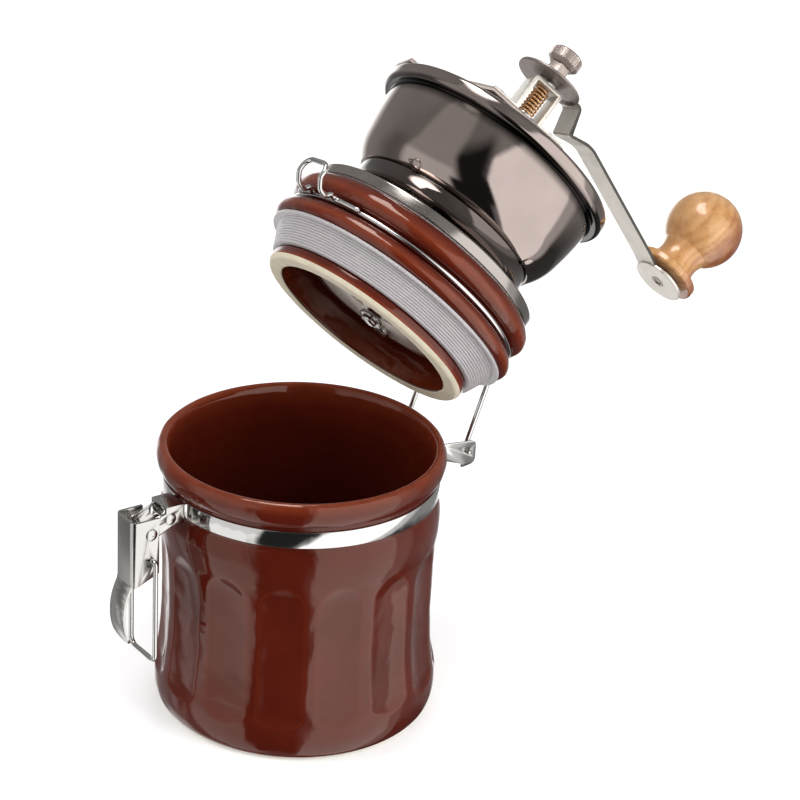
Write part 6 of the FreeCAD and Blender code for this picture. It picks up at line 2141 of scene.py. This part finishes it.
class GRINDER_OT_hopper(bpy.types.Operator):
    """Dished base, dark bowl, funnel and guide"""

    bl_idname = "grinder.hopper"
    bl_label = "Hopper"
    bl_options = {"REGISTER", "UNDO"}

    def execute(self, context):
        """Makes the hopper from the scene's sizes and colours."""
        make_hopper(settings()[0], kept_materials())
        return {"FINISHED"}


class GRINDER_OT_bridge(bpy.types.Operator):
    """Bridge strip, arch, screws and bearing"""

    bl_idname = "grinder.bridge"
    bl_label = "Bridge"
    bl_options = {"REGISTER", "UNDO"}

    def execute(self, context):
        """Makes the bridge with the scene's colours and edges."""
        make_bridge(kept_materials())
        return {"FINISHED"}


class GRINDER_OT_spring(bpy.types.Operator):
    """Adjuster spring and its seat"""

    bl_idname = "grinder.spring"
    bl_label = "Spring"
    bl_options = {"REGISTER", "UNDO"}

    def execute(self, context):
        """Makes the spring from the scene's sizes and colours."""
        make_spring(settings()[0], kept_materials())
        return {"FINISHED"}


class GRINDER_OT_crank(bpy.types.Operator):
    """Crank arm, washers, collar and thumb nut"""

    bl_idname = "grinder.crank"
    bl_label = "Crank"
    bl_options = {"REGISTER", "UNDO"}

    def execute(self, context):
        """Makes the crank from the scene's sizes and colours."""
        make_crank(settings()[0], kept_materials())
        return {"FINISHED"}


class GRINDER_OT_knob(bpy.types.Operator):
    """Turned wooden knob and its spindle"""

    bl_idname = "grinder.knob"
    bl_label = "Knob"
    bl_options = {"REGISTER", "UNDO"}

    def execute(self, context):
        """Makes the knob with the scene's colours and edges."""
        make_knob(kept_materials())
        return {"FINISHED"}


class GRINDER_OT_stage(bpy.types.Operator):
    """Camera, floor, surround and lamps"""

    bl_idname = "grinder.stage"
    bl_label = "Stage"
    bl_options = {"REGISTER", "UNDO"}

    def execute(self, context):
        """Makes the stage from the scene's stage settings."""
        stage = settings()[2]
        context.scene.view_settings.view_transform = "Standard"
        make_camera(stage)
        make_world(stage)
        make_floor(stage)
        make_surround(stage)
        make_lamps(stage)
        return {"FINISHED"}


OPERATORS = (
    GRINDER_OT_jar,
    GRINDER_OT_neck_band,
    GRINDER_OT_latch,
    GRINDER_OT_lid,
    GRINDER_OT_lid_wires,
    GRINDER_OT_grinding_set,
    GRINDER_OT_hopper,
    GRINDER_OT_bridge,
    GRINDER_OT_spring,
    GRINDER_OT_crank,
    GRINDER_OT_knob,
    GRINDER_OT_stage,
)


class GRINDER_PT_panel(bpy.types.Panel):
    """Lists the grinder's settings and pieces in the sidebar"""

    bl_idname = "GRINDER_PT_panel"
    bl_label = "Coffee Grinder"
    bl_space_type = "VIEW_3D"
    bl_region_type = "UI"
    bl_category = "Grinder"

    def draw(self, context):
        """Draws the settings, then a button for each piece."""
        layout = self.layout
        for group in settings():
            box = layout.box()
            for name in group.bl_rna.properties.keys():
                if name not in ("rna_type", "name"):
                    box.prop(group, name)
        for operator in OPERATORS:
            layout.operator(operator.bl_idname)


CLASSES = (GrinderSizes, GrinderColours, GrinderStage, *OPERATORS, GRINDER_PT_panel)
GROUPS = {
    "grinder_sizes": GrinderSizes,
    "grinder_colours": GrinderColours,
    "grinder_stage": GrinderStage,
}


def register():
    """Adds the classes and the scene's settings."""
    for item in CLASSES:
        bpy.utils.register_class(item)
    for name, group in GROUPS.items():
        setattr(bpy.types.Scene, name, PointerProperty(type=group))


def unregister():
    """Takes the settings and the classes away."""
    for name in GROUPS:
        delattr(bpy.types.Scene, name)
    for item in reversed(CLASSES):
        bpy.utils.unregister_class(item)


def main():
    """Builds every piece and the stage."""
    register()
    for operator in OPERATORS:
        family, name = operator.bl_idname.split(".")
        getattr(getattr(bpy.ops, family), name)()


if __name__ == "__main__":
    main()
